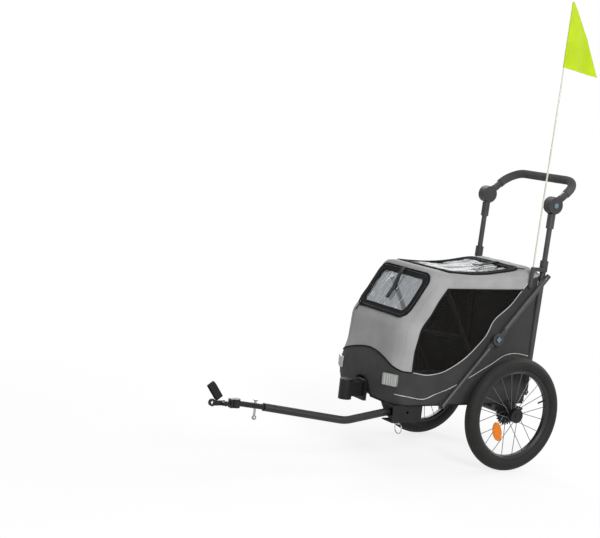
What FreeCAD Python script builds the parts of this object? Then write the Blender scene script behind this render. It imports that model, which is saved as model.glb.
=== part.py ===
import FreeCAD, Part
import Sketcher
import math
import os
import re
from types import SimpleNamespace

# Dog bike trailer: two 16 inch wheels, a folding fabric cabin, a push handle,
# a drawbar with a hitch, and a safety flag.  Lengths are mm, +Z is up, the
# front faces -Y and +X is the trailer's left.  Places along Y and Z are written
# from the wheel axle; axleShift and the wheel's radius then move every piece so
# that the origin is on the ground under the middle of the whole trailer.

Vec = FreeCAD.Vector
doc = FreeCAD.newDocument("dogBikeTrailer")
sheet = doc.addObject("Spreadsheet::Sheet", "Dims")

driving = [
    ("axleShift", 428.73, "axle behind the origin"),
    ("runGap", 0.05, "running clearance of a shaft"),
    ("slideGap", 0.3, "clearance round a button or a loose piece"),
    # wheels
    ("wheelRadius", 200, "outside radius of the tyre"),
    ("tyreWidth", 47, "tyre section"),
    ("wheelOut", 68, "wheel plane outside the cabin's side"),
    ("rimDrop", 42, "rim below the outside of the tyre"),
    ("rimDepth", 12, "depth of the rim"),
    ("rimWidth", 28, "rim width"),
    ("rimLip", 6, "height of the rim wall"),
    ("hubIn", 28, "hub reach inboard of the wheel plane"),
    ("hubOut", 29, "hub reach outboard of the wheel plane"),
    ("hubRadius", 15, "hub barrel radius"),
    ("hubFlange", 25, "spoke flange radius"),
    ("flangeOffset", 11, "flange from the wheel plane"),
    ("flangeWidth", 3, "flange thickness"),
    ("capWidth", 6, "hub cap depth"),
    ("pinRadius", 6, "axle pin radius"),
    ("buttonRadius", 8.5, "wheel release button radius"),
    ("buttonLength", 6.5, "wheel release button length"),
    ("buttonProud", 1.5, "button height above its face"),
    ("buttonWell", 9.5, "depth of the button well"),
    ("spokeCount", 20, "spokes in a wheel"),
    ("spokeRadius", 1.2, "spoke radius"),
    ("spokeLead", 28, "angle a spoke leads from hub to rim"),
    ("reflectorWidth", 36, "spoke reflector width"),
    ("reflectorHeight", 70, "spoke reflector height"),
    ("reflectorThick", 4, "spoke reflector thickness"),
    ("reflectorLow", 57, "spoke reflector below the axle"),
    ("reflectorAhead", 66, "spoke reflector ahead of the axle"),
    ("reflectorTilt", 20, "turn of the spoke reflector from upright"),
    ("reflectorSide", 9.4, "spoke reflector's inner face from the wheel plane"),
    ("valveRadius", 3, "valve stem radius"),
    ("valveLength", 26, "valve stem length"),
    ("discRadius", 40, "brake disc root radius"),
    ("discThick", 4, "brake disc thickness"),
    ("toothHeight", 5, "brake tooth height"),
    ("toothWidth", 5, "brake tooth width"),
    ("toothCount", 24, "brake teeth"),
    ("discPhase", 1.2, "turn of the disc that puts a tooth gap under the pawl"),
    # axle
    ("beamRadius", 12.5, "axle beam radius"),
    ("beamWall", 2, "axle beam wall"),
    ("beamOut", 25, "axle beam's end outside the cabin's side"),
    ("socketFlange", 16, "axle socket flange radius"),
    ("socketWidth", 7, "axle socket flange width"),
    ("socketDepth", 40, "axle socket depth in the beam"),
    # base
    ("cabinHalf", 190, "cabin half width"),
    ("cabinRear", 100, "rear wall behind the axle"),
    ("fabric", 3, "fabric wall"),
    ("railRadius", 10, "base rail radius"),
    ("tubeWall", 1.5, "frame tube wall"),
    ("railZ", 32, "base rail above the axle"),
    ("railIn", 13.5, "front rail behind the nose's hem"),
    ("railBack", 15, "rear rail ahead of the rear wall"),
    ("railBend", 56, "bend radius of the base rail"),
    ("boardThick", 6, "floor board thickness"),
    ("boardIn", 20, "floor board in from the cabin's side"),
    ("padIn", 42, "floor pad in from the cabin's side"),
    ("padEnd", 23, "floor pad in from the front and rear rails"),
    ("padThick", 28, "floor pad crown"),
    ("padDraw", 6, "draw of the pad's sides"),
    ("padCrown", 34, "flat top of the pad in from its sides"),
    # cabin outline: reaches ahead of the axle and heights above it
    ("noseBottom", 453, "nose at the hem"),
    ("noseBulge", 468, "nose at its bulge"),
    ("noseBulgeZ", 90, "height of the bulge"),
    ("noseTop", 447, "nose above the bulge"),
    ("noseTopZ", 180, "height above the bulge"),
    ("shoulder", 441, "shoulder of the nose"),
    ("shoulderZ", 288, "height of the shoulder"),
    ("roofFront", 318, "front edge of the roof"),
    ("roofFrontZ", 476, "height of the roof's front edge"),
    ("roofRearZ", 502, "height of the roof's rear edge"),
    ("noseCorner", 70, "corner radius of the nose in plan"),
    ("roofBend", 40, "bend at the roof's front edge"),
    ("roofSide", 10, "rounding along the roof's sides"),
    ("seamIn", 28, "corner seam in from the side"),
    ("windowIn", 40, "both windows in from the cabin's side"),
    ("windowLow", 26, "front window above the shoulder, along the slope"),
    ("windowHigh", 210, "top of the front window, along the slope"),
    ("windowCorner", 36, "corner radius of the windows"),
    ("roofWindowIn", 34, "roof window behind the roof's front edge"),
    ("roofWindowBack", 46, "roof window ahead of the rear wall"),
    ("flapGap", 0.6, "gap round a flap"),
    ("meshTop", 282, "side window's upper front corner"),
    ("meshTopZ", 422, "height of the side window's top"),
    ("meshRear", 31, "side window's upper rear corner, behind the axle"),
    ("meshWaist", 65, "side window where its lower edge starts to curve"),
    ("meshWaistZ", 322, "height there"),
    ("meshBelly", 152, "side window at the middle of the curve"),
    ("meshBellyZ", 204, "height there"),
    ("meshLow", 300, "side window where the curve ends"),
    ("meshLowZ", 129, "height there"),
    ("meshFront", 398, "side window's lower front corner"),
    ("meshFrontZ", 136, "height there"),
    ("meshBrow", 384, "side window's front bend"),
    ("meshBrowZ", 278, "height there"),
    # rear frame and handle: heights along the leg from its hinge
    ("hingeBack", 12, "rear hinge behind the rear wall"),
    ("hingeUp", 30, "rear hinge above the base rail"),
    ("rearLean", 1.8, "lean of the rear frame"),
    ("hingePin", 4, "hinge pin radius"),
    ("hingeBlock", 14, "hinge block width"),
    ("legIn", 8, "rear leg in from the cabin's side"),
    ("legRadius", 11, "rear leg radius"),
    ("legFoot", 12, "leg below its hinge"),
    ("legTop", 450, "leg top above its hinge"),
    ("crossUp", 405, "cross tube above the hinge"),
    ("crossRadius", 9, "cross tube radius"),
    ("postRadius", 9.3, "handle post radius"),
    ("postFoot", 380, "lower end of the handle post"),
    ("collarRadius", 14.5, "handle collar radius"),
    ("collarLow", 432, "collar's lower face"),
    ("collarHeight", 38, "collar height"),
    ("tiltUp", 667, "handle joint above the hinge"),
    ("hubDisc", 30, "handle joint radius"),
    ("hubWidth", 17, "width of one half of the joint"),
    ("sleeveRadius", 14, "sleeve under the joint"),
    ("sleeveLength", 52, "sleeve length"),
    ("gripBack", 109, "grip behind the handle joint"),
    ("gripUp", 88, "grip above the handle joint"),
    ("barRadius", 9.5, "handle bar radius"),
    ("barBend", 68, "handle bar bend"),
    ("foamRadius", 15.5, "foam grip radius"),
    ("bandStart", 34, "reflective band from the joint"),
    ("bandLength", 20, "reflective band length"),
    ("bandThick", 0.8, "reflective band thickness"),
    ("tiltButton", 9, "handle button radius"),
    ("tiltWell", 7.6, "depth of the handle button's well"),
    ("tiltThick", 5, "handle button thickness"),
    ("tiltNeck", 10, "thickness of the moving half's neck"),
    # struts
    ("strutOut", 13, "strut outside the cabin's side"),
    ("strutUp", 406, "upper strut pivot above the rear hinge"),
    ("strutFront", 259, "lower strut end ahead of the axle"),
    ("strutFrontZ", 26, "lower strut end above the axle"),
    ("elbowShare", 0.516, "elbow's share of the way from the lower end"),
    ("upperRadius", 9, "upper strut radius"),
    ("lowerRadius", 8, "lower strut radius"),
    ("elbowRadius", 22, "elbow housing radius"),
    ("knuckleRadius", 14, "lower strut knuckle radius"),
    ("neckLength", 46, "flat neck at the elbow"),
    ("strutButton", 12, "strut button radius"),
    # canopy hoops
    ("hoopFoot", 63, "roof hoop hinge ahead of the axle"),
    ("hoopInset", 25, "roof hoop leg in from the cabin's side"),
    ("hoopBack", 20, "roof hoop behind the roof's front edge"),
    ("hoopDrop", 20, "roof hoop below the roof's front edge"),
    ("hoopRadius", 8, "roof hoop radius"),
    ("hoopBend", 50, "roof hoop bend"),
    ("browShare", 0.477, "nose hoop pivot along the roof hoop leg"),
    ("browInset", 18, "nose hoop leg in from the roof hoop leg"),
    ("browBack", 17, "nose hoop behind the shoulder"),
    ("browDrop", 8, "nose hoop below the shoulder"),
    ("browRadius", 7, "nose hoop radius"),
    # drawbar and hitch
    ("barInset", 40, "drawbar in from the cabin's side"),
    ("pivotBack", 39.5, "drawbar pivot behind the front rail"),
    ("drawRadius", 13, "drawbar radius"),
    ("drawDrop", 39, "drawbar below the base rail"),
    ("drawTail", 26, "drawbar behind its pivot"),
    ("straightRun", 62, "first bend ahead of the pivot"),
    ("bendRun", 220, "lowest bend ahead of the pivot"),
    ("bendDrop", 25, "lowest bend below the pivot"),
    ("tipInset", 50, "hitch in from the drawbar"),
    ("endRun", 505, "drawbar end ahead of the pivot"),
    ("endRise", 15, "drawbar end above the pivot"),
    ("tongueRadius", 9, "hitch tongue radius"),
    ("eyeRun", 107, "hitch eye ahead of the drawbar end"),
    ("eyeRise", 16, "hitch eye above the drawbar end"),
    ("eyeRadius", 14, "hitch eye radius"),
    ("eyeHeight", 20, "hitch eye height along its pin"),
    ("plate", 4, "hitch and bracket plate"),
    ("yokeRun", 40, "coupler pivot ahead of the eye"),
    ("couplerRun", 46, "coupler hole ahead of its pivot"),
    ("couplerHole", 5.25, "coupler hole radius"),
    ("couplerWidth", 8, "coupler arm width"),
    ("couplerRadius", 12, "coupler arm end radius"),
    ("strapWidth", 21.6, "depth of the safety strap's loop"),
    ("webbing", 2, "safety strap thickness"),
    ("pinRun", 35, "hitch pin ahead of the drawbar end"),
    ("channelFront", 55, "drawbar bracket ahead of the pivot"),
    ("channelRear", 65, "drawbar bracket behind the pivot"),
    ("channelIn", 24, "drawbar bracket inside the drawbar's middle"),
    ("channelOut", 36, "drawbar bracket outside the drawbar's middle"),
    ("channelDrop", 69, "drawbar bracket's lower face below the base rail"),
    ("ringRadius", 19, "pull ring radius"),
    ("ringWire", 1.6, "pull ring wire radius"),
    # front wheel receiver, reflectors
    ("receiverRun", 62, "receiver socket ahead of the nose"),
    ("receiverRadius", 23, "receiver socket radius"),
    ("receiverBore", 11, "receiver bore radius"),
    ("receiverTall", 70, "receiver height"),
    ("receiverUp", 43, "receiver's upper face above the base rail"),
    ("receiverDeep", 60, "receiver bore depth"),
    ("receiverHalf", 38, "receiver plate half width"),
    ("receiverSeat", 1.7, "receiver plate behind the front of the bulge"),
    ("plateTurn", 28, "front reflector's turn round the nose corner"),
    ("plateWidth", 54, "front reflector width"),
    ("plateLow", 85, "front reflector's lower edge"),
    ("plateHeight", 40, "front reflector height"),
    # parking brake
    ("brakeY", 66, "brake bar behind the axle"),
    ("brakeDrop", 21, "brake bar below the base rail"),
    ("brakeRadius", 5, "brake bar radius"),
    ("pawlDrop", 26, "pawl below the brake bar"),
    ("pawlAhead", 10, "pawl ahead of the brake bar"),
    ("pawlTip", 1.4, "pawl tip radius"),
    ("pedalX", 60, "pedal from the middle"),
    ("pedalWidth", 56, "pedal width"),
    ("pedalReach", 64, "pedal behind the brake bar"),
    # flag, along the pole from the height of the rear hinge
    ("poleOut", 13, "flag pole outside the cabin's side"),
    ("poleAhead", 66, "flag pole ahead of the rear leg"),
    ("poleRadius", 2.8, "flag pole radius"),
    ("poleFoot", 378, "lower end of the pole"),
    ("poleTop", 1365, "upper end of the pole"),
    ("poleSocket", 7, "pole socket radius"),
    ("socketTop", 446, "pole socket's upper end"),
    ("flagHoist", 224, "flag along the pole"),
    ("flagFly", 152, "flag away from the pole"),
    ("flagDrop", 14, "fly corner below the hoist corner"),
    ("flagThick", 1.2, "flag thickness"),
    ("flagWave", 6, "depth of a flag fold"),
    ("flagHem", 4.6, "flag sleeve radius"),
]

for row, (name, value, note) in enumerate(driving, 1):
    sheet.set(f"A{row}", note)
    sheet.set(f"B{row}", str(value))
    sheet.setAlias(f"B{row}", name)
doc.recompute()

aliases = {name for name, value, note in driving}
v = SimpleNamespace(**{name: float(sheet.get(name)) for name in aliases})

# places measured from another place
measured = [
    ("rimRadius", "wheelRadius", "-", "rimDrop"),
    ("rimInner", "rimRadius", "-", "rimDepth"),
    ("wheelPlane", "cabinHalf", "+", "wheelOut"),
    ("beamEnd", "cabinHalf", "+", "beamOut"),
    ("railFront", "noseBottom", "-", "railIn"),
    ("railRear", "cabinRear", "-", "railBack"),
    ("boardHalf", "cabinHalf", "-", "boardIn"),
    ("padHalf", "cabinHalf", "-", "padIn"),
    ("padFront", "railFront", "-", "padEnd"),
    ("padRear", "railRear", "-", "padEnd"),
    ("cabinBottom", "railZ", "-", "railRadius"),
    ("windowHalf", "cabinHalf", "-", "windowIn"),
    ("roofWindowFront", "roofFront", "-", "roofWindowIn"),
    ("roofWindowRear", "cabinRear", "-", "roofWindowBack"),
    ("hingeY", "cabinRear", "+", "hingeBack"),
    ("hingeZ", "railZ", "+", "hingeUp"),
    ("legX", "cabinHalf", "-", "legIn"),
    ("strutX", "cabinHalf", "+", "strutOut"),
    ("hoopX", "cabinHalf", "-", "hoopInset"),
    ("hoopTop", "roofFront", "-", "hoopBack"),
    ("hoopTopZ", "roofFrontZ", "-", "hoopDrop"),
    ("browX", "hoopX", "-", "browInset"),
    ("browTop", "shoulder", "-", "browBack"),
    ("browTopZ", "shoulderZ", "-", "browDrop"),
    ("barX", "cabinHalf", "-", "barInset"),
    ("pivotFront", "railFront", "-", "pivotBack"),
    ("drawZ", "railZ", "-", "drawDrop"),
    ("drawStraight", "pivotFront", "+", "straightRun"),
    ("drawBend", "pivotFront", "+", "bendRun"),
    ("drawBendZ", "drawZ", "-", "bendDrop"),
    ("drawEnd", "pivotFront", "+", "endRun"),
    ("drawEndZ", "drawZ", "+", "endRise"),
    ("tipX", "barX", "-", "tipInset"),
    ("eyeFront", "drawEnd", "+", "eyeRun"),
    ("eyeZ", "drawEndZ", "+", "eyeRise"),
    ("yokeFront", "eyeFront", "+", "yokeRun"),
    ("couplerFront", "yokeFront", "+", "couplerRun"),
    ("pinFront", "drawEnd", "+", "pinRun"),
    ("bracketFront", "pivotFront", "+", "channelFront"),
    ("bracketRear", "pivotFront", "-", "channelRear"),
    ("bracketIn", "barX", "-", "channelIn"),
    ("bracketOut", "barX", "+", "channelOut"),
    ("bracketLow", "railZ", "-", "channelDrop"),
    ("receiverFront", "noseBulge", "+", "receiverRun"),
    ("receiverHigh", "railZ", "+", "receiverUp"),
    ("receiverLow", "receiverHigh", "-", "receiverTall"),
    ("brakeZ", "railZ", "-", "brakeDrop"),
    ("poleX", "cabinHalf", "+", "poleOut"),
]
formulas = {}
for name, start, sign, step in measured:
    reach = getattr(v, step) if sign == "+" else -getattr(v, step)
    setattr(v, name, getattr(v, start) + reach)
    formulas[name] = f"({start} {sign} {step})"

subParts = []
along = {}
turns = {
    "X": FreeCAD.Rotation(Vec(0, 1, 0), 90),
    "Y": FreeCAD.Rotation(Vec(1, 0, 0), -90),
    "Z": FreeCAD.Rotation(),
}


def bound(text):
    # an expression in plain names, each alias pointing at its cell
    def prefixed(found):
        word = found.group(0)
        if word in formulas:
            return bound(formulas[word])
        return "Dims." + word if word in aliases else word
    return re.sub(r"[A-Za-z]\w*", prefixed, text)


def bind(obj, **sizes):
    for prop, text in sizes.items():
        obj.setExpression(prop, bound(text))
    return obj


def place(obj, x="0", y="0", z="0", axis="Z"):
    obj.Placement = FreeCAD.Placement(Vec(), turns[axis])
    for letter, text in zip("xyz", (x, y, z)):
        obj.setExpression("Placement.Base." + letter, bound(text))
    along[obj.Name] = (y, z)
    return obj


def rod(name, radius, length, x="0", y="0", z="0", axis="Z"):
    obj = doc.addObject("Part::Cylinder", name)
    bind(obj, Radius=radius, Height=length)
    return place(obj, x, y, z, axis)


def block(name, length, width, height, x="0", y="0", z="0"):
    obj = doc.addObject("Part::Box", name)
    bind(obj, Length=length, Width=width, Height=height)
    return place(obj, x, y, z)


def cut(name, base, *tools):
    obj = doc.addObject("Part::Cut", name)
    obj.Base = base
    obj.Tool = tools[0] if len(tools) == 1 else fuse(name + "Tools", *tools)
    return obj


def fuse(name, *pieces):
    obj = doc.addObject("Part::MultiFuse", name)
    obj.Shapes = list(pieces)
    return obj


def common(name, first, second):
    obj = doc.addObject("Part::MultiCommon", name)
    obj.Shapes = [first, second]
    return obj


def group(name, *pieces):
    obj = doc.addObject("Part::Compound", name)
    obj.Links = list(pieces)
    return obj


def mirror(name, source):
    obj = doc.addObject("Part::Mirroring", name)
    obj.Source = source
    obj.Normal = Vec(1, 0, 0)
    return obj


def shaped(name, shape):
    obj = doc.addObject("Part::Feature", name)
    obj.Shape = shape
    return obj


def subPart(label, obj):
    # a finished piece, moved from the axle to the part's own origin
    y, z = along.get(obj.Name, ("0", "0"))
    obj.setExpression("Placement.Base.y", bound(f"axleShift + ({y})"))
    obj.setExpression("Placement.Base.z", bound(f"wheelRadius + ({z})"))
    obj.Label = label
    subParts.append(obj)
    return obj


def pair(label, obj):
    # the same piece on the left and, mirrored, on the right
    subPart(label + "_left", obj)
    right = mirror(obj.Name + "Right", obj)
    right.Label = label + "_right"
    subParts.append(right)


def bothSides(name, obj):
    return group(name, obj, mirror(name + "Mirror", obj))


def newBody(name):
    return doc.addObject("PartDesign::Body", name)


def sketchOn(body, plane, name):
    sketch = body.newObject("Sketcher::SketchObject", name)
    sketch.AttachmentSupport = ([f for f in body.Origin.OriginFeatures if f.Role == plane][0], [""])
    sketch.MapMode = "FlatFace"
    return sketch


def polygon(body, plane, points, name="Outline"):
    # a closed outline whose every corner is tied to the sheet
    sketch = sketchOn(body, plane, body.Name + name)
    count = len(points)
    ring = [(10 * math.cos(2 * math.pi * i / count), 10 * math.sin(2 * math.pi * i / count))
            for i in range(count)]
    for i in range(count):
        sketch.addGeometry(Part.LineSegment(Vec(*ring[i], 0), Vec(*ring[(i + 1) % count], 0)), False)
    for i in range(count):
        sketch.addConstraint(Sketcher.Constraint("Coincident", i, 2, (i + 1) % count, 1))
    for i, corner in enumerate(points):
        for kind, start, text in zip(("DistanceX", "DistanceY"), ring[i], corner):
            index = sketch.addConstraint(Sketcher.Constraint(kind, -1, 1, i, 1, start))
            sketch.setExpression(f"Constraints[{index}]", bound(text))
    return sketch


def circles(body, plane, radii, name="Circles"):
    sketch = sketchOn(body, plane, body.Name + name)
    for i, text in enumerate(radii):
        sketch.addGeometry(Part.Circle(Vec(), Vec(0, 0, 1), 10 + i), False)
        sketch.addConstraint(Sketcher.Constraint("Coincident", i, 3, -1, 1))
        index = sketch.addConstraint(Sketcher.Constraint("Radius", i, 10 + i))
        sketch.setExpression(f"Constraints[{index}]", bound(text))
    return sketch


def pad(body, sketch, length, middle=False):
    feature = body.newObject("PartDesign::Pad", sketch.Name + "Pad")
    feature.Profile = sketch
    feature.Midplane = middle
    feature.setExpression("Length", bound(length))
    sketch.Visibility = False
    return feature


def turned(name, points):
    # a body of revolution about X from (along X, radius) corners
    body = newBody(name)
    sketch = polygon(body, "XY_Plane", points)
    feature = body.newObject("PartDesign::Revolution", name + "Turn")
    feature.Profile = sketch
    feature.ReferenceAxis = (sketch, ["H_Axis"])
    feature.Angle = 360
    return body


def pathWire(points, bends):
    # straight runs joined by tangent arcs; bends holds a radius for each inner point
    edges = []
    start = points[0]
    for i in range(1, len(points) - 1):
        back = (points[i - 1] - points[i]).normalize()
        ahead = (points[i + 1] - points[i]).normalize()
        half = back.getAngle(ahead) / 2
        reach = bends[i - 1] / math.tan(half)
        first = points[i] + back * reach
        last = points[i] + ahead * reach
        bisector = (back + ahead).normalize()
        middle = points[i] + bisector * (bends[i - 1] / math.sin(half) - bends[i - 1])
        edges.append(Part.LineSegment(start, first).toShape())
        edges.append(Part.Arc(first, middle, last).toShape())
        start = last
    edges.append(Part.LineSegment(start, points[-1]).toShape())
    return Part.Wire(edges)


def pipe(points, bends, radius, bore=0):
    path = pathWire(points, bends)
    heading = points[1] - points[0]
    ring = Part.Wire(Part.makeCircle(radius, points[0], heading))
    solid = path.makePipeShell([ring], True, False)
    if bore:
        inner = Part.Wire(Part.makeCircle(bore, points[0], heading))
        solid = solid.cut(path.makePipeShell([inner], True, False))
    return solid


def straight(first, last, radius):
    return Part.makeCylinder(radius, (last - first).Length, first, last - first)


# tyre, rim, hub and brake disc
tyreRing = bind(doc.addObject("Part::Torus", "tyreRing"), Radius1="wheelRadius - tyreWidth / 2",
                Radius2="tyreWidth / 2")
place(tyreRing, "wheelPlane", "0", "0", "X")
bead = rod("bead", "rimRadius", "tyreWidth + 2 * flangeWidth",
           "wheelPlane - tyreWidth / 2 - flangeWidth", "0", "0", "X")


def valveStem():
    centre = Vec(v.wheelPlane, 0, 0)
    angle = math.radians(360 / v.spokeCount)
    heading = Vec(0, math.cos(angle), math.sin(angle))
    seat = v.rimInner - v.slideGap / 3
    return straight(centre + heading * seat, centre + heading * (seat - v.valveLength), v.valveRadius)


pair("tyre", group("tyreSet", cut("tyre", tyreRing, bead), shaped("valve", valveStem())))

rim = turned("rim", [("-rimWidth / 2", "rimRadius"), ("rimWidth / 2", "rimRadius"),
                     ("rimWidth / 2", "rimRadius - rimLip"), ("rimWidth / 4", "rimInner"),
                     ("-rimWidth / 4", "rimInner"), ("-rimWidth / 2", "rimRadius - rimLip")])
pair("rim", place(rim, "wheelPlane", "0", "0"))

hubBore = "pinRadius + runGap"
wellRadius = "buttonRadius + slideGap"
hub = turned("hub", [("-hubIn", hubBore), ("hubOut - buttonWell", hubBore),
                     ("hubOut - buttonWell", wellRadius), ("hubOut", wellRadius),
                     ("hubOut", "hubFlange"), ("hubOut - capWidth", "hubFlange"),
                     ("hubOut - capWidth", "hubRadius"), ("flangeOffset + flangeWidth", "hubRadius"),
                     ("flangeOffset + flangeWidth", "hubFlange"), ("flangeOffset", "hubFlange"),
                     ("flangeOffset", "hubRadius"), ("-flangeOffset", "hubRadius"),
                     ("-flangeOffset", "hubFlange"), ("-flangeOffset - flangeWidth", "hubFlange"),
                     ("-flangeOffset - flangeWidth", "hubRadius"), ("-hubIn", "hubRadius")])
place(hub, "wheelPlane", "0", "0")

releaseButton = rod("releaseButton", "buttonRadius", "buttonLength",
                    "wheelPlane + hubOut + buttonProud - buttonLength", "0", "0", "X")
pair("release_button", releaseButton)

# the disc lies against the hub's inboard end, with a gap between teeth where the pawl drops in
disc = newBody("disc")
discPad = pad(disc, circles(disc, "YZ_Plane", ["discRadius", "pinRadius + 4 * slideGap"]), "discThick")
tooth = polygon(disc, "YZ_Plane", [("discRadius - toothHeight", "-toothWidth / 2"),
                                   ("discRadius + toothHeight", "-toothWidth / 3"),
                                   ("discRadius + toothHeight", "toothWidth / 3"),
                                   ("discRadius - toothHeight", "toothWidth / 2")], "Tooth")
toothPad = pad(disc, tooth, "discThick")
doc.recompute()
toothRing = disc.newObject("PartDesign::PolarPattern", "toothRing")
toothRing.Originals = [toothPad]
toothRing.Axis = (tooth, ["N_Axis"])
toothRing.Angle = 360
toothRing.setExpression("Occurrences", "Dims.toothCount")
disc.Tip = toothRing
place(disc, "wheelPlane - hubIn - discThick", "0", "0")
disc.Placement = FreeCAD.Placement(Vec(), FreeCAD.Rotation(Vec(1, 0, 0), v.discPhase))
disc.setExpression("Placement.Rotation.Angle", "Dims.discPhase * 1 deg")
pair("hub", group("hubSet", hub, disc))


def spokeSet():
    centre = Vec(v.wheelPlane, 0, 0)
    spokes = []
    for i in range(int(v.spokeCount)):
        side = 1 if i % 2 else -1
        lead = side * v.spokeLead
        angle = math.radians(360 / v.spokeCount * (i + 0.5))
        inner = angle + math.radians(lead)
        near = v.hubFlange + (v.spokeRadius + v.slideGap) / 2
        far = v.rimInner - v.spokeRadius / 4
        offset = side * (v.flangeOffset + v.flangeWidth / 2)
        first = centre + Vec(offset, near * math.cos(inner), near * math.sin(inner))
        last = centre + Vec(0, far * math.cos(angle), far * math.sin(angle))
        spokes.append(straight(first, last, v.spokeRadius))
    return Part.makeCompound(spokes)


pair("spokes", shaped("spokes", spokeSet()))

# oval reflector clipped on the outer side of the spokes, low in front of the axle


def spokeOval():
    tilt = math.radians(v.reflectorTilt)
    centre = Vec(v.wheelPlane + v.reflectorSide, -v.reflectorAhead, -v.reflectorLow)
    tall = Vec(0, -math.sin(tilt), math.cos(tilt)) * (v.reflectorHeight / 2)
    wide = Vec(0, math.cos(tilt), math.sin(tilt)) * (v.reflectorWidth / 2)
    edge = Part.Ellipse(centre + tall, centre + wide, centre).toShape()
    return Part.Face(Part.Wire(edge)).extrude(Vec(v.reflectorThick, 0, 0))


pair("spoke_reflector", shaped("spokeReflector", spokeOval()))

# axle beam across the trailer, its end sockets and the two axle pins
beamOuter = rod("beamOuter", "beamRadius", "2 * beamEnd", "-beamEnd", "0", "0", "X")
beamInner = rod("beamInner", "beamRadius - beamWall", "2 * beamEnd", "-beamEnd", "0", "0", "X")
subPart("axle_beam", cut("axleBeam", beamOuter, beamInner))

socket = turned("socket", [("-socketDepth", "pinRadius"), ("socketWidth", "pinRadius"),
                           ("socketWidth", "socketFlange"), ("0", "socketFlange"),
                           ("0", "beamRadius - beamWall"), ("-socketDepth", "beamRadius - beamWall")])
place(socket, "beamEnd", "0", "0")
axlePin = rod("axlePin", "pinRadius", "wheelPlane + hubOut - buttonWell - slideGap - beamEnd + socketDepth",
              "beamEnd - socketDepth", "0", "0", "X")
subPart("axle_sockets", group("axleEnds", bothSides("axleSockets", socket), bothSides("axlePins", axlePin)))

# base: a bent front and side rail, a rear rail, and saddles that carry the axle beam
railX = v.cabinHalf - v.fabric - v.slideGap - v.railRadius
railPoints = [Vec(railX, v.railRear + v.railRadius, v.railZ), Vec(railX, -v.railFront, v.railZ),
              Vec(-railX, -v.railFront, v.railZ), Vec(-railX, v.railRear + v.railRadius, v.railZ)]
railBore = v.railRadius - v.tubeWall
baseRail = shaped("baseRail", pipe(railPoints, [v.railBend] * 2, v.railRadius, railBore))

railSide = "(cabinHalf - fabric - slideGap - railRadius)"
railTop = "railZ + railRadius + runGap"
railUnder = "railZ - railRadius - runGap"
rearReach = railSide + " - railRadius - runGap"
rearOuter = rod("rearOuter", "railRadius", f"2 * ({rearReach})", f"-({rearReach})", "railRear", "railZ", "X")
rearInner = rod("rearInner", "railRadius - tubeWall", f"2 * ({rearReach})", f"-({rearReach})",
                "railRear", "railZ", "X")
subPart("base_frame", group("baseFrame", baseRail, cut("rearRail", rearOuter, rearInner)))

saddleBlock = block("saddleBlock", "2 * railRadius", "3 * beamRadius", "railZ + beamWall",
                    railSide + " - railRadius", "-1.5 * beamRadius", "-beamWall")
saddleRail = rod("saddleRail", "railRadius + runGap", "4 * beamRadius", railSide, "-2 * beamRadius",
                 "railZ", "Y")
saddleBeam = rod("saddleBeam", "beamRadius + runGap", "beamEnd", "0", "0", "0", "X")
axleSaddle = cut("axleSaddle", saddleBlock, saddleRail, saddleBeam)

board = newBody("board")
boardOutline = polygon(board, "XY_Plane", [("-boardHalf", "railRear"), ("boardHalf", "railRear"),
                                           ("boardHalf", "railBend - railFront"),
                                           ("boardHalf - railBend", "-railFront"),
                                           ("railBend - boardHalf", "-railFront"),
                                           ("-boardHalf", "railBend - railFront")])
pad(board, boardOutline, "boardThick")
subPart("floor_board", place(board, "0", "0", railTop))


def cushionLoop(half, front, rear, draw, z):
    # a rectangle whose sides are drawn in between the corners
    corners = [Vec(half, rear, z), Vec(half, -front, z), Vec(-half, -front, z), Vec(-half, rear, z)]
    middle = Vec(0, (rear - front) / 2, z)
    edges = []
    for i in range(4):
        first = corners[i]
        last = corners[(i + 1) % 4]
        chord = (first + last) / 2
        edges.append(Part.Arc(first, chord + (middle - chord).normalize() * draw, last).toShape())
    return Part.Wire(edges)


def floorPad():
    low = v.railZ + v.railRadius + 2 * v.runGap + v.boardThick
    levels = [(0, v.padDraw), (v.padThick / 3, 0), (2 * v.padThick / 3, v.padDraw), (v.padThick, v.padCrown)]
    loops = [cushionLoop(v.padHalf - inset, v.padFront - inset, v.padRear - inset, v.padDraw, low + rise)
             for rise, inset in levels]
    return Part.makeLoft(loops, True)


subPart("floor_pad", shaped("floorPad", floorPad()))

# parking brake: a bar under the base with a pawl for each toothed disc and a pedal
brakeReach = "wheelPlane - hubIn - discThick"
brakeRod = rod("brakeRod", "brakeRadius", f"2 * ({brakeReach} + discThick)", f"-({brakeReach} + discThick)",
               "brakeY", "brakeZ", "X")
pedal = block("pedal", "pedalWidth", "pedalReach", "brakeRadius", "pedalX", "brakeY", "brakeZ - brakeRadius")


def pawlArm():
    tip = Vec(0, v.brakeY - v.pawlAhead, v.brakeZ - v.pawlDrop)
    root = Vec(0, v.brakeY, v.brakeZ)
    side = (tip - root).cross(Vec(1, 0, 0)).normalize() * v.pawlTip
    web = Part.Face(Part.makePolygon([root + side, tip + side, tip - side, root - side, root + side]))
    arm = web.extrude(Vec(v.discThick, 0, 0)).fuse(Part.makeCylinder(v.pawlTip, v.discThick, tip, Vec(1, 0, 0)))
    arm.translate(Vec(v.wheelPlane - v.hubIn - v.discThick, 0, 0))
    return arm


pawl = shaped("pawl", pawlArm())
subPart("brake_bar", fuse("brakeBar", brakeRod, pedal, pawl, mirror("pawlRight", pawl)))

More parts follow.
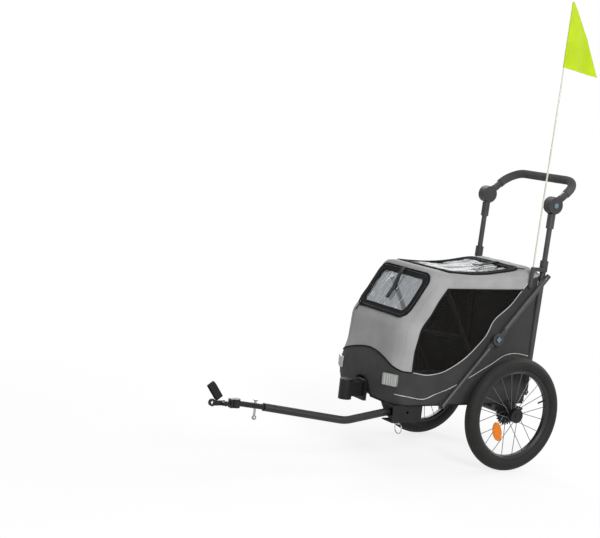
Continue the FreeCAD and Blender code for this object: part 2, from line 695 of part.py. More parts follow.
brakeBlock = block("brakeBlock", "2 * railRadius", "4 * brakeRadius", "railZ - brakeZ + 2 * brakeRadius",
                   railSide + " - railRadius", "brakeY - 2 * brakeRadius", "brakeZ - 2 * brakeRadius")
brakeBore = rod("brakeBore", "brakeRadius + runGap", "beamEnd", "0", "brakeY", "brakeZ", "X")
brakeRail = rod("brakeRail", "railRadius + runGap", "8 * brakeRadius", railSide,
                "brakeY - 4 * brakeRadius", "railZ", "Y")
brakeBracket = cut("brakeBracket", brakeBlock, brakeBore, brakeRail)

# cabin: one fabric skin over the hoops, cut into panels, mesh windows and two window flaps


def planLoop(front, half, rear, radius, z):
    # a plan outline with rounded nose corners
    slant = radius * (1 - math.sqrt(0.5))
    right = [Vec(half, -rear, z), Vec(half, radius - front, z), Vec(half - slant, slant - front, z),
             Vec(half - radius, -front, z)]
    left = [Vec(-p.x, p.y, p.z) for p in right]
    return Part.Wire([line(left[0], right[0]), line(right[0], right[1]), arc(right[1], right[2], right[3]),
                      line(right[3], left[3]), arc(left[3], left[2], left[1]), line(left[1], left[0])])


def line(first, last):
    return Part.LineSegment(first, last).toShape()


def arc(first, middle, last):
    return Part.Arc(first, middle, last).toShape()


def noseCurve(count):
    # reach and height of the nose at even steps along the arc from the hem to above the bulge
    curve = Part.Arc(Vec(0, -v.noseBottom, v.cabinBottom), Vec(0, -v.noseBulge, v.noseBulgeZ),
                     Vec(0, -v.noseTop, v.noseTopZ))
    points = curve.discretize(count)
    return [(-p.y, p.z) for p in points]


slopeRun = v.shoulder - v.roofFront
slopeRise = v.roofFrontZ - v.shoulderZ
slopeLength = math.hypot(slopeRun, slopeRise)
slopeUp = Vec(0, slopeRun / slopeLength, slopeRise / slopeLength)
slopeOut = Vec(0, -slopeUp.z, slopeUp.y)
roofUp = Vec(0, v.roofFront + v.cabinRear, v.roofRearZ - v.roofFrontZ).normalize()
roofOut = Vec(0, -roofUp.z, roofUp.y)
noseSteps = 6


def cabinForm(inset):
    # the closed outer form, drawn in by inset on every side but the bottom
    half = v.cabinHalf - inset
    rear = inset - v.cabinRear
    corner = v.noseCorner - inset
    levels = noseCurve(noseSteps) + [(v.shoulder, v.shoulderZ)]
    loops = [planLoop(reach - inset, half, rear, corner, z) for reach, z in levels]
    over = 2 * v.roofBend
    top = Vec(0, -v.roofFront, v.roofFrontZ) + slopeUp * over - slopeOut * inset
    loops.append(planLoop(-top.y, half, rear, corner, top.z))
    form = Part.makeLoft(loops, True, True)
    roofEdge = Vec(0, -v.roofFront, v.roofFrontZ) - roofOut * inset
    lid = Part.makeBox(4 * half, 4 * v.noseBulge, 4 * over)
    lid.translate(Vec(-2 * half, -2 * v.noseBulge, 0))
    lid.Placement = FreeCAD.Placement(roofEdge, FreeCAD.Rotation(Vec(0, 1, 0), roofUp)).multiply(lid.Placement)
    form = form.cut(lid)
    rims = [edge for edge in form.Edges if onRoof(edge, roofEdge)]
    return form.makeFillet(v.roofSide - inset / 2, rims)


def onRoof(edge, roofEdge):
    # an edge whose ends and middle all lie in the roof plane
    spots = [vertex.Point for vertex in edge.Vertexes] + [edge.CenterOfMass]
    return all(abs((spot - roofEdge).dot(roofOut)) < v.runGap for spot in spots)


def roundedFace(centre, across, up, halfAcross, halfUp, radius):
    # a rectangle with rounded corners in the plane of across and up
    edges = []
    corners = [(1, 1), (-1, 1), (-1, -1), (1, -1)]
    ends = []
    for a, b in corners:
        hub = centre + across * (a * (halfAcross - radius)) + up * (b * (halfUp - radius))
        sweep = [across * (a * radius), (across * a + up * b).normalize() * radius, up * (b * radius)]
        spots = [hub + step for step in (sweep if a == b else sweep[::-1])]
        edges.append(arc(*spots))
        ends.append((spots[0], spots[2]))
    for i in range(4):
        edges.append(line(ends[i][1], ends[(i + 1) % 4][0]))
    return Part.Face(Part.Wire(Part.__sortEdges__(edges)))


def frontWindow(gap):
    # a block through the sloped front, its outline drawn in by gap
    shoulderEdge = Vec(0, -v.shoulder, v.shoulderZ)
    centre = shoulderEdge + slopeUp * ((v.windowLow + v.windowHigh) / 2) - slopeOut * (3 * v.fabric)
    face = roundedFace(centre, Vec(1, 0, 0), slopeUp, v.windowHalf - gap,
                       (v.windowHigh - v.windowLow) / 2 - gap, v.windowCorner - gap)
    return face.extrude(slopeOut * (6 * v.fabric))


def roofWindow(gap):
    # a block through the roof, its outline drawn in by gap
    centre = Vec(0, (v.roofWindowRear - v.roofWindowFront) / 2, v.roofFrontZ - v.roofBend)
    face = roundedFace(centre, Vec(1, 0, 0), Vec(0, 1, 0), v.windowHalf - gap,
                       (v.roofWindowRear + v.roofWindowFront) / 2 - gap, v.windowCorner - gap)
    return face.extrude(Vec(0, 0, 3 * v.roofBend))


def sideWindow():
    # the mesh window's outline on the left side, a block from the seam outwards
    x = v.cabinHalf - v.seamIn
    top = Vec(x, -v.meshTop, v.meshTopZ)
    rear = Vec(x, v.meshRear, v.meshTopZ)
    waist = Vec(x, -v.meshWaist, v.meshWaistZ)
    belly = Vec(x, -v.meshBelly, v.meshBellyZ)
    low = Vec(x, -v.meshLow, v.meshLowZ)
    front = Vec(x, -v.meshFront, v.meshFrontZ)
    brow = Vec(x, -v.meshBrow, v.meshBrowZ)
    edges = [line(top, rear), line(rear, waist), arc(waist, belly, low), line(low, front), line(front, brow),
             line(brow, top)]
    return Part.Face(Part.Wire(edges)).extrude(Vec(2 * v.seamIn, 0, 0))


def cell(x, y, z, toX, toY, toZ):
    return Part.makeBox(toX - x, toY - y, toZ - z, Vec(x, y, z))


def hingeNotch(side):
    # room for a rear hinge block where it passes the rear wall
    inner = v.legX - v.legRadius - v.hingeBlock - v.slideGap
    outer = v.legX - v.legRadius
    top = v.hingeZ + 3 * v.hingePin + v.slideGap
    return cell(min(side * inner, side * outer), v.railRear + v.railRadius, v.cabinBottom - v.fabric,
                max(side * inner, side * outer), v.hingeY, top)


def rolledHem(flap, hem, up):
    # the flap's upper edge turned into a round hem, which it swings on
    beyond = cell(-v.cabinHalf, 0, -v.roofBend, v.cabinHalf, v.roofBend, v.roofBend)
    beyond.Placement = FreeCAD.Placement(hem, FreeCAD.Rotation(Vec(0, 1, 0), up)).multiply(beyond.Placement)
    half = v.windowHalf - v.windowCorner
    roll = Part.makeCylinder(v.fabric / 2, 2 * half, hem - Vec(half, 0, 0), Vec(1, 0, 0))
    return flap.cut(beyond).fuse(roll)


hemIn = v.flapGap + v.fabric / 2
frontHem = Vec(0, -v.shoulder, v.shoulderZ) + slopeUp * (v.windowHigh - hemIn) - slopeOut * (v.fabric / 2)
roofRun = (v.roofFront + v.roofWindowRear - hemIn) / roofUp.y
roofHem = Vec(0, -v.roofFront, v.roofFrontZ) + roofUp * roofRun - roofOut * (v.fabric / 2)
skin = cabinForm(0).cut(cabinForm(v.fabric)).cut([hingeNotch(1), hingeNotch(-1)])
seam = v.cabinHalf - v.seamIn
ahead = -2 * v.noseBulge
behind = 2 * v.cabinRear
low = -v.roofRearZ
high = 2 * v.roofRearZ
roofStart = -v.roofFront + v.roofSide
roofEnd = v.cabinRear - v.roofSide
leftSide = skin.common(cell(seam, ahead, low, 2 * seam, behind, high))
frontSkin = skin.common(cell(-seam, ahead, low, seam, roofStart, high))
roofSkin = skin.common(cell(-seam, roofStart, low, seam, roofEnd, high))
rearSkin = skin.common(cell(-seam, roofEnd, low, seam, behind, high))
pair("side_panel", shaped("sidePanel", leftSide.cut(sideWindow())))
pair("mesh_window", shaped("meshWindow", leftSide.common(sideWindow())))
subPart("front_panel", shaped("frontPanel", frontSkin.cut(frontWindow(0))))
frontCloth = frontSkin.common(frontWindow(v.flapGap))
subPart("front_flap", shaped("frontFlap", rolledHem(frontCloth, frontHem, slopeUp)))
subPart("roof_panel", shaped("roofPanel", roofSkin.cut(roofWindow(0))))
roofCloth = roofSkin.common(roofWindow(v.flapGap))
subPart("roof_flap", shaped("roofFlap", rolledHem(roofCloth, roofHem, roofUp)))
subPart("rear_panel", shaped("rearPanel", rearSkin))

# rear frame: two legs and a cross tube that fold forwards on a hinge behind the base


def standing(obj):
    # a piece drawn upright from the rear hinge, leaned back with the frame
    obj.Placement = FreeCAD.Placement(Vec(), FreeCAD.Rotation(Vec(-1, 0, 0), v.rearLean))
    obj.setExpression("Placement.Rotation.Angle", "Dims.rearLean * 1 deg")
    along[obj.Name] = ("hingeY", "hingeZ")
    return obj


legOuter = rod("legOuter", "legRadius", "legTop + legFoot", "legX", "0", "-legFoot")
legInner = rod("legInner", "postRadius + runGap", "legTop + legFoot", "legX", "0", "-legFoot")
hingeBore = rod("hingeBore", "hingePin + runGap", "4 * legRadius", "legX - 2 * legRadius", "0", "0", "X")
strutBore = rod("strutBore", "hingePin", "4 * legRadius", "legX - 2 * legRadius", "0", "strutUp", "X")
leg = cut("leg", legOuter, legInner, hingeBore, strutBore)
crossOuter = rod("crossOuter", "crossRadius", "2 * legX", "-legX", "0", "crossUp", "X")
crossInner = rod("crossInner", "crossRadius - tubeWall", "2 * legX", "-legX", "0", "crossUp", "X")
crossLeg = rod("crossLeg", "legRadius", "legTop", "legX", "0", "0")
crossLegs = fuse("crossLegs", crossInner, crossLeg, mirror("crossLegRight", crossLeg))
crossTube = cut("crossTube", crossOuter, crossLegs)
subPart("rear_frame", standing(fuse("rearFrame", leg, mirror("legRight", leg), crossTube)))

hingePinRod = rod("hingePinRod", "hingePin", "legRadius * 2 + hingeBlock + railRadius / 2",
                  "legX - legRadius - hingeBlock", "hingeY", "hingeZ", "X")
hingeSolid = block("hingeSolid", "hingeBlock - 4 * slideGap",
                   "hingeY - railRear - railRadius + 3 * hingePin - runGap",
                   "hingeZ - railZ + railRadius + 3 * hingePin", "legX - legRadius - hingeBlock",
                   "railRear + railRadius + runGap", "railZ - railRadius")
hingeHole = rod("hingeHole", "hingePin", "2 * hingeBlock", "legX - legRadius - 1.5 * hingeBlock",
                "hingeY", "hingeZ", "X")
rearHingeBlock = cut("rearHingeBlock", hingeSolid, hingeHole)
subPart("rear_hinges", group("rearHinges", bothSides("rearHingeBlocks", rearHingeBlock),
                             bothSides("rearHingePins", hingePinRod)))

# handle posts plug into the legs; each collar clamps one and the left collar carries the flag socket
postEnd = "tiltUp - hubDisc - legRadius / 2"
postOuter = rod("postOuter", "postRadius", postEnd + " - postFoot", "legX", "0", "postFoot")
postInner = rod("postInner", "postRadius - tubeWall", postEnd + " - postFoot", "legX", "0", "postFoot")
postBore = rod("postBore", "hingePin", "4 * legRadius", "legX - 2 * legRadius", "0", "strutUp", "X")
post = cut("post", postOuter, postInner, postBore)
subPart("handle_posts", standing(bothSides("handlePosts", post)))

strutPin = rod("strutPin", "hingePin", "strutX + upperRadius - legX + legRadius", "legX - legRadius", "0",
               "strutUp", "X")

collarOuter = rod("collarOuter", "collarRadius", "collarHeight", "legX", "0", "collarLow")
collarLeg = rod("collarLeg", "legRadius", "legTop - collarLow", "legX", "0", "collarLow")
collarPost = rod("collarPost", "postRadius", "2 * collarHeight", "legX", "0", "collarLow")
collar = cut("collar", collarOuter, collarLeg, collarPost)
socketWall = rod("socketWall", "poleSocket", "socketTop - poleFoot + poleRadius", "poleX", "-poleAhead",
                 "poleFoot - poleRadius")
socketArm = block("socketArm", "poleSocket", "poleAhead", "2 * poleSocket", "poleX - poleSocket", "-poleAhead",
                  "socketTop - 2 * poleSocket")
socketHole = rod("socketHole", "poleRadius + slideGap", "socketTop", "poleX", "-poleAhead", "poleFoot - runGap")
flagSocket = cut("flagSocket", fuse("socketBody", socketWall, socketArm), socketHole,
                 rod("armLeg", "collarRadius", "2 * collarHeight", "legX", "0", "collarLow"))
subPart("handle_collars", standing(group("collarSet", bothSides("handleCollars", collar), flagSocket)))

# sleeve and fixed half of each tilt joint, then the moving half with the handle bar
sleeveTop = "tiltUp - hubDisc - 2 * slideGap"
sleeveOuter = rod("sleeveOuter", "sleeveRadius", "sleeveLength", "legX", "0", sleeveTop + " - sleeveLength")
sleeveBore = rod("sleeveBore", "postRadius", f"{postEnd} - ({sleeveTop}) + sleeveLength", "legX", "0",
                 sleeveTop + " - sleeveLength")
fixedDisc = rod("fixedDisc", "hubDisc", "hubWidth", "legX - hubWidth - slideGap / 2", "0", "tiltUp", "X")
fixedNeck = block("fixedNeck", "hubWidth - sleeveRadius / 4", "1.6 * sleeveRadius", "hubDisc + 2 * slideGap",
                  "legX - hubWidth + sleeveRadius / 4 - slideGap / 2", "-0.8 * sleeveRadius", sleeveTop)
tiltBore = rod("tiltBore", "hingePin", "4 * hubWidth", "legX - 2 * hubWidth", "0", "tiltUp", "X")
fixedHub = cut("fixedHub", fuse("fixedHubBody", sleeveOuter, fixedDisc, fixedNeck), sleeveBore, tiltBore)
subPart("tilt_sleeves", standing(bothSides("tiltSleeves", fixedHub)))
tiltPin = rod("tiltPin", "hingePin", "1.5 * hubWidth", "legX - hubWidth", "0", "tiltUp", "X")
framePins = group("framePins", bothSides("strutPins", strutPin), bothSides("tiltPins", tiltPin))
subPart("frame_pins", standing(framePins))

# handle: a bent bar with a foam grip on the moving halves of the tilt joints
lean = math.radians(v.rearLean)
legUp = Vec(0, math.sin(lean), math.cos(lean))
hinge = Vec(0, v.hingeY, v.hingeZ)
tilt = hinge + legUp * v.tiltUp
grip = tilt + Vec(0, v.gripBack, v.gripUp)
barAlong = (grip - tilt).normalize()
out = Vec(v.legX, 0, 0)
barStart = tilt + barAlong * (v.hubDisc + v.slideGap)
barPoints = [barStart + out, grip + out, grip - out, barStart - out]
barBends = [v.barBend] * 2
subPart("handle_bar", shaped("handleBar", pipe(barPoints, barBends, v.barRadius, v.barRadius - v.tubeWall)))

bandFoot = tilt + barAlong * v.bandStart
bandHead = bandFoot + barAlong * v.bandLength
foamPoints = [bandHead + out, grip + out, grip - out, bandHead - out]
subPart("foam_grip", shaped("foamGrip", pipe(foamPoints, barBends, v.foamRadius, v.barRadius)))


def band():
    first = bandFoot + out
    last = bandHead + out
    return straight(first, last, v.barRadius + v.bandThick).cut(straight(first, last, v.barRadius))


subPart("handle_bands", bothSides("handleBands", shaped("handleBand", band())))


def movingHub():
    # disc and neck of the joint's outer half, with a well for its button
    face = Vec(v.legX + v.slideGap / 2, 0, 0)
    across = Vec(v.hubWidth, 0, 0)
    side = barAlong.cross(Vec(1, 0, 0)) * v.barRadius
    far = barStart + face
    corners = [tilt + face + side, far + side, far - side, tilt + face - side]
    neck = Part.Face(Part.makePolygon(corners + corners[:1])).extrude(Vec(v.tiltNeck, 0, 0))
    disc = Part.makeCylinder(v.hubDisc, v.hubWidth, tilt + face, across)
    floor = tilt + face + across - Vec(v.tiltWell, 0, 0)
    well = Part.makeCylinder(v.tiltButton + v.slideGap, v.hubWidth, floor, across)
    bore = Part.makeCylinder(v.hingePin + v.runGap, v.hubWidth, tilt + face, across)
    return disc.fuse(neck).cut(well).cut(bore)


subPart("tilt_hubs", bothSides("tiltHubs", shaped("tiltHub", movingHub())))


def tiltButton():
    top = v.legX + v.slideGap / 2 + v.hubWidth + v.buttonProud
    return Part.makeCylinder(v.tiltButton, v.tiltThick, tilt + Vec(top - v.tiltThick, 0, 0), Vec(1, 0, 0))


pair("tilt_button", shaped("tiltButtonSolid", tiltButton()))

# side struts: an upper and a lower tube with flat necks that pass each other at the elbow
upperEnd = hinge + legUp * v.strutUp + Vec(v.strutX, 0, 0)
lowerEnd = Vec(v.strutX, -v.strutFront, v.strutFrontZ)
elbow = lowerEnd + (upperEnd - lowerEnd) * v.elbowShare
strutAlong = (upperEnd - lowerEnd).normalize()
strutSide = strutAlong.cross(Vec(1, 0, 0))
xDir = Vec(1, 0, 0)


def flatNeck(towards, half, fromX, toX):
    # a flat tongue from the elbow along a strut, between two places across the trailer
    foot = Vec(fromX, elbow.y, elbow.z)
    head = foot + towards * v.neckLength
    wide = strutSide * half
    corners = [foot + wide, head + wide, head - wide, foot - wide]
    return Part.Face(Part.makePolygon(corners + corners[:1])).extrude(xDir * (toX - fromX))


def discAt(point, radius, fromX, toX):
    return Part.makeCylinder(radius, toX - fromX, Vec(fromX, point.y, point.z), xDir)


def upperStrut():
    outerX = v.strutX + v.upperRadius
    halfX = v.strutX + v.slideGap
    wellX = outerX - v.buttonLength
    tube = straight(elbow + strutAlong * (v.neckLength - v.tubeWall), upperEnd + strutAlong * 2 * v.upperRadius,
                    v.upperRadius)
    solid = tube.fuse(flatNeck(strutAlong, v.upperRadius, halfX, outerX))
    solid = solid.fuse(discAt(elbow, v.elbowRadius, halfX, outerX))
    solid = solid.cut(discAt(elbow, v.strutButton + v.slideGap, wellX, 2 * outerX))
    solid = solid.cut(discAt(elbow, v.hingePin + v.runGap, 0, outerX))
    return solid.cut(discAt(upperEnd, v.hingePin + v.runGap, 0, 2 * outerX))


def lowerStrut():
    innerX = v.strutX - v.upperRadius
    tube = straight(elbow - strutAlong * (v.neckLength - v.tubeWall), lowerEnd - strutAlong * v.lowerRadius,
                    v.lowerRadius)
    sleeveFoot = elbow - strutAlong * (v.neckLength + 2 * v.knuckleRadius)
    sleeve = straight(elbow - strutAlong * v.neckLength, sleeveFoot, v.upperRadius)
    solid = tube.fuse(sleeve).fuse(flatNeck(strutAlong * -1, v.upperRadius, innerX, v.strutX))
    solid = solid.fuse(discAt(elbow, v.knuckleRadius, innerX, v.strutX))
    pinEnd = v.strutX + v.upperRadius - v.buttonLength
    return solid.fuse(discAt(elbow, v.hingePin, v.strutX, pinEnd))


def strutButtonSolid():
    outerX = v.strutX + v.upperRadius
    return discAt(elbow, v.strutButton, outerX - v.buttonLength / 3, outerX + v.buttonProud)


pair("upper_strut", shaped("upperStrut", upperStrut()))
pair("lower_strut", shaped("lowerStrut", lowerStrut()))
pair("strut_button", shaped("strutButtonPiece", strutButtonSolid()))

# canopy hoops: the roof hoop hinges on the rails, the nose hoop on the roof hoop's legs
hoopFoot = Vec(v.hoopX, -v.hoopFoot, v.hingeZ)
hoopHead = Vec(v.hoopX, -v.hoopTop, v.hoopTopZ)
brow = hoopFoot + (hoopHead - hoopFoot) * v.browShare


def acrossTo(point):
    return Vec(-point.x, point.y, point.z)


def hoop(foot, head, radius, bend):
    # a bent tube, its feet carried a little past their hinge line
    start = foot - (head - foot).normalize() * radius
    return pipe([start, head, acrossTo(head), acrossTo(start)], [bend] * 2, radius, radius - v.tubeWall)


def onBothSides(shape):
    return [shape, shape.mirror(Vec(), xDir)]


def roofHoop():
    solid = hoop(hoopFoot, hoopHead, v.hoopRadius, v.hoopBend)
    for tool in onBothSides(discAt(hoopFoot, v.hingePin + v.runGap, v.hoopX / 2, 2 * v.hoopX)):
        solid = solid.cut(tool)
    pinHole = discAt(brow, v.hingePin - v.tubeWall / 2, v.browX - 2 * v.browRadius, v.hoopX)
    for pin in onBothSides(pinHole):
        solid = solid.fuse(pin)
    return solid


def noseHoop():
    foot = Vec(v.browX, brow.y, brow.z)
    head = Vec(v.browX, -v.browTop, v.browTopZ)
    solid = hoop(foot, head, v.browRadius, v.hoopBend)
    boreRadius = v.hingePin - v.tubeWall / 2 + v.runGap
    for tool in onBothSides(discAt(foot, boreRadius, v.browX / 2, 2 * v.browX)):
        solid = solid.cut(tool)
    return solid


subPart("roof_hoop", shaped("roofHoop", roofHoop()))
subPart("nose_hoop", shaped("noseHoop", noseHoop()))

hoopIn = "hoopX + hoopRadius + 2 * slideGap"
hoopBlock = block("hoopBlock", "hoopRadius", "6 * hingePin",
                  "hingeZ + 3 * hingePin - railZ - railRadius - runGap", hoopIn, "-hoopFoot - 3 * hingePin",
                  railTop)
hoopPin = rod("hoopPin", "hingePin", "3 * hoopRadius + 2 * slideGap", "hoopX - hoopRadius", "-hoopFoot",
              "hingeZ", "X")
hoopBracket = fuse("hoopBracket", hoopBlock, hoopPin)

strutIn = "strutX - lowerRadius - slideGap"
strutBracket = block("strutBracket", f"{strutIn} - cabinHalf - slideGap", "6 * hingePin", "6 * hingePin",
                     "cabinHalf + slideGap", "-strutFront - 3 * hingePin", "strutFrontZ - 4 * hingePin")
strutFlange = block("strutFlange", f"{strutIn} - {railSide}", "6 * hingePin", "plate", railSide,
                    "-strutFront - 3 * hingePin", railUnder + " - plate")
strutFoot = fuse("strutFoot", strutBracket, strutFlange)
leftBrackets = [axleSaddle, brakeBracket, hoopBracket, strutFoot]
brackets = [bothSides(piece.Name + "s", piece) for piece in leftBrackets]
subPart("frame_brackets", group("frameBrackets", *brackets))

# drawbar bracket: a channel under the rail, open inwards, with the pivot pin and its pull ring
bracketLength = "bracketFront - bracketRear"
topPlate = block("topPlate", "bracketOut - bracketIn", bracketLength, "plate", "bracketIn", "-bracketFront",
                 railUnder + " - plate")
lowPlate = block("lowPlate", "bracketOut - bracketIn", bracketLength, "plate", "bracketIn", "-bracketFront",
                 "bracketLow")
outerPlate = block("outerPlate", "plate", bracketLength, f"{railUnder} - bracketLow", "bracketOut - plate",
                   "-bracketFront", "bracketLow")
pivotHole = rod("pivotHole", "brakeRadius", "railZ - bracketLow + plate", "barX", "-pivotFront",
                "bracketLow - plate")
sideHole = rod("sideHole", "brakeRadius", "2 * plate", "bracketOut - 1.5 * plate",
               "-(bracketFront + bracketRear) / 2", "(railZ + bracketLow) / 2", "X")
bracket = cut("bracket", fuse("bracketBody", topPlate, lowPlate, outerPlate), pivotHole, sideHole)
pinFoot = "bracketLow - 3 * brakeRadius"
pivotRod = rod("pivotRod", "brakeRadius", f"{railUnder} - ({pinFoot})", "barX", "-pivotFront", pinFoot)
pivotHead = rod("pivotHead", "1.6 * brakeRadius", "plate", "barX", "-pivotFront", railUnder)
ringTop = "bracketLow - 1.6 * brakeRadius"
ringHole = rod("ringHole", "ringWire + slideGap", "4 * brakeRadius", "barX - 2 * brakeRadius", "-pivotFront",
               ringTop, "X")
pivotPin = cut("pivotPin", fuse("pivotBody", pivotRod, pivotHead), ringHole)
pullRing = bind(doc.addObject("Part::Torus", "pullRing"), Radius1="ringRadius", Radius2="ringWire")
place(pullRing, "barX", "-pivotFront", ringTop + " - ringRadius", "Y")
subPart("drawbar_bracket", bracket)
subPart("drawbar_pin", group("drawbarPin", pivotPin, pullRing))

drawPoints = [Vec(v.barX, v.drawTail - v.pivotFront, v.drawZ), Vec(v.barX, -v.drawStraight, v.drawZ),
              Vec(v.barX, -v.drawBend, v.drawBendZ), Vec(v.tipX, -v.drawEnd, v.drawEndZ)]
drawBends = [6 * v.drawRadius, 9 * v.drawRadius]
tipAlong = (drawPoints[3] - drawPoints[2]).normalize()
eye = Vec(v.tipX, -v.eyeFront, v.eyeZ)
tongueRoot = drawPoints[3] - tipAlong * (3 * v.drawRadius)
zDir = Vec(0, 0, 1)


def drawbarTube():
    tube = pipe(drawPoints, drawBends, v.drawRadius, v.tongueRadius)
    pivot = Vec(v.barX, -v.pivotFront, v.bracketLow)
    return tube.cut(Part.makeCylinder(v.brakeRadius + v.runGap, v.railZ - v.bracketLow, pivot, zDir))


def hitchTongue():
    # a rod in the drawbar's end that carries the hitch eye
    toEye = (eye - drawPoints[3]).normalize()
    shank = straight(tongueRoot, drawPoints[3], v.tongueRadius)
    neck = straight(drawPoints[3], eye - toEye * (v.eyeRadius / 2), v.tongueRadius)
    stop = straight(drawPoints[3], drawPoints[3] + toEye * v.plate, v.drawRadius)
    ball = Part.makeSphere(v.tongueRadius, drawPoints[3])
    ring = Part.makeCylinder(v.eyeRadius, v.eyeHeight, eye - zDir * (v.eyeHeight / 2), zDir)
    bore = Part.makeCylinder(v.brakeRadius + v.runGap, 2 * v.eyeHeight, eye - zDir * v.eyeHeight, zDir)
    tongue = shank.fuse([neck, stop, ball, ring])
    reliefs = [Part.makeCylinder(v.eyeRadius + v.slideGap, v.eyeHeight, eye + zDir * (v.eyeHeight / 2), zDir),
               Part.makeCylinder(v.eyeRadius + v.slideGap, v.eyeHeight, eye - zDir * (v.eyeHeight * 1.5), zDir)]
    return tongue.cut([bore, hitchPinSolid(v.slideGap / 2), drawbarTube()] + reliefs)


def hitchPinSolid(gap):
    # an upright pin through the tongue with a ball knob below
    share = (v.pinFront - v.drawEnd) / (v.eyeFront - v.drawEnd)
    centre = drawPoints[3] + (eye - drawPoints[3]) * share
    foot = centre - zDir * (3 * v.drawRadius)
    pin = Part.makeCylinder(v.hingePin + gap, 3 * v.drawRadius + 2 * v.tongueRadius, foot, zDir)
    knob = Part.makeSphere(2 * v.hingePin, foot)
    head = Part.makeCylinder(2 * v.hingePin, v.plate, centre + zDir * 2 * v.tongueRadius, zDir)
    return pin if gap else pin.fuse([knob, head])


subPart("drawbar", shaped("drawbar", drawbarTube()))
subPart("hitch_tongue", shaped("hitchTongue", hitchTongue()))
subPart("hitch_pin", shaped("hitchPin", hitchPinSolid(0)))

yoke = Vec(v.tipX, -v.yokeFront, v.eyeZ)
coupler = Vec(v.tipX, -v.couplerFront, v.eyeZ + v.plate)


def hitchSwivel():
    # two plates over and under the eye on an upright pin, and a lug for the coupler
    gap = v.eyeHeight / 2 + v.slideGap
    rise = gap + v.plate
    wide = v.eyeRadius - v.plate
    front = eye.y - v.eyeRadius - v.plate - 2 * v.slideGap
    solids = [Part.makeBox(2 * wide, v.plate * 2, 2 * rise, Vec(eye.x - wide, front - v.plate, eye.z - rise))]
    for low in (gap, -rise):
        solids.append(Part.makeCylinder(v.eyeRadius, v.plate, eye + zDir * low, zDir))
        solids.append(Part.makeBox(2 * wide, eye.y - front, v.plate, Vec(eye.x - wide, front, eye.z + low)))
    lug = v.couplerWidth - v.plate / 2
    solids.append(Part.makeBox(2 * lug, front - yoke.y, 2 * lug, Vec(yoke.x - lug, yoke.y, yoke.z - lug)))
    solids.append(Part.makeCylinder(lug, 2 * lug, yoke - xDir * lug, xDir))
    pin = Part.makeCylinder(v.brakeRadius, 2 * rise, eye - zDir * rise, zDir)
    bore = Part.makeCylinder(v.hingePin + v.runGap, 4 * lug, yoke - xDir * (2 * lug), xDir)
    return pin.fuse(solids).cut(bore)


def couplerArm():
    # two cheeks beside the lug, a web ahead of it, and an arm with the axle hole
    lug = v.couplerWidth - v.plate / 2 + v.slideGap
    cheek = lug + v.plate
    clear = v.couplerWidth + v.slideGap
    low = yoke.z - v.couplerWidth + v.plate / 2
    solids = []
    for x in (lug, -cheek):
        solids.append(Part.makeCylinder(v.couplerWidth, v.plate, yoke + xDir * x, xDir))
        solids.append(Part.makeBox(v.plate, clear + v.plate, 2 * v.couplerWidth - v.plate,
                                   Vec(yoke.x + x, yoke.y - clear - v.plate, low)))
    webFront = yoke.y - clear - v.plate
    solids.append(Part.makeBox(2 * cheek, v.plate, 2 * v.couplerWidth - v.plate,
                               Vec(yoke.x - cheek, webFront, low)))
    half = v.couplerWidth / 2
    solids.append(Part.makeBox(2 * half, webFront - coupler.y, 2 * v.couplerWidth,
                               Vec(coupler.x - half, coupler.y, low)))
    solids.append(Part.makeCylinder(v.couplerRadius, 2 * half, coupler - xDir * half, xDir))
    pin = Part.makeCylinder(v.hingePin, 2 * cheek, yoke - xDir * cheek, xDir)
    hole = Part.makeCylinder(v.couplerHole, 4 * half, coupler - xDir * (2 * half), xDir)
    return pin.fuse(solids).cut(hole)


subPart("hitch_swivel", shaped("hitchSwivel", hitchSwivel()))
subPart("coupler_arm", shaped("couplerArm", couplerArm()))


def strapLoop():
    # a webbing loop that stands on the coupler and leans forwards
    foot = coupler + Vec(0, 2 * v.couplerRadius, v.couplerWidth + v.plate)
    head = coupler + Vec(0, -v.couplerRadius, 5 * v.couplerRadius)
    up = (head - foot).normalize()
    side = up.cross(xDir)
    half = (head - foot).Length / 2
    wide = v.strapWidth / 2
    corner = wide - v.tubeWall
    rise = up.z * half + abs(side.z) * v.couplerRadius
    armTop = yoke.z + v.couplerWidth + v.plate / 2
    middle = Vec(coupler.x, (foot.y + head.y) / 2, armTop + v.runGap + rise)
    edge = middle - side * v.couplerRadius
    outer = roundedFace(edge, xDir, up, wide, half, corner)
    inner = roundedFace(edge, xDir, up, wide - v.webbing, half - v.webbing, corner - v.webbing)
    return outer.cut(inner).extrude(side * (2 * v.couplerRadius))


subPart("safety_strap", shaped("safetyStrap", strapLoop()))

# receiver for a front wheel on the nose, and the two front reflectors
nosePlane = "-noseBulge - slideGap"
seatPlane = nosePlane + " + receiverSeat"
receiverPlate = block("receiverPlate", "2 * receiverHalf", "3 * plate", "receiverTall", "-receiverHalf",
                      seatPlane + " - 3 * plate", "receiverLow")
receiverArm = block("receiverArm", "2 * receiverRadius", "receiverFront - noseBulge",
                    "receiverTall - 5 * plate", "-receiverRadius", "-receiverFront", "receiverLow + 3 * plate")
receiverTube = rod("receiverTube", "receiverRadius", "receiverTall", "0", "-receiverFront", "receiverLow")
receiverHole = rod("receiverHole", "receiverBore", "receiverDeep", "0", "-receiverFront", "receiverLow")
noseSpace = block("noseSpace", "2 * cabinHalf", "noseBulge", "3 * receiverTall", "-cabinHalf", seatPlane,
                  "receiverLow - receiverTall")
receiverBody = fuse("receiverBody", receiverPlate, receiverArm, receiverTube)
subPart("wheel_receiver", cut("wheelReceiver", receiverBody, receiverHole, noseSpace))


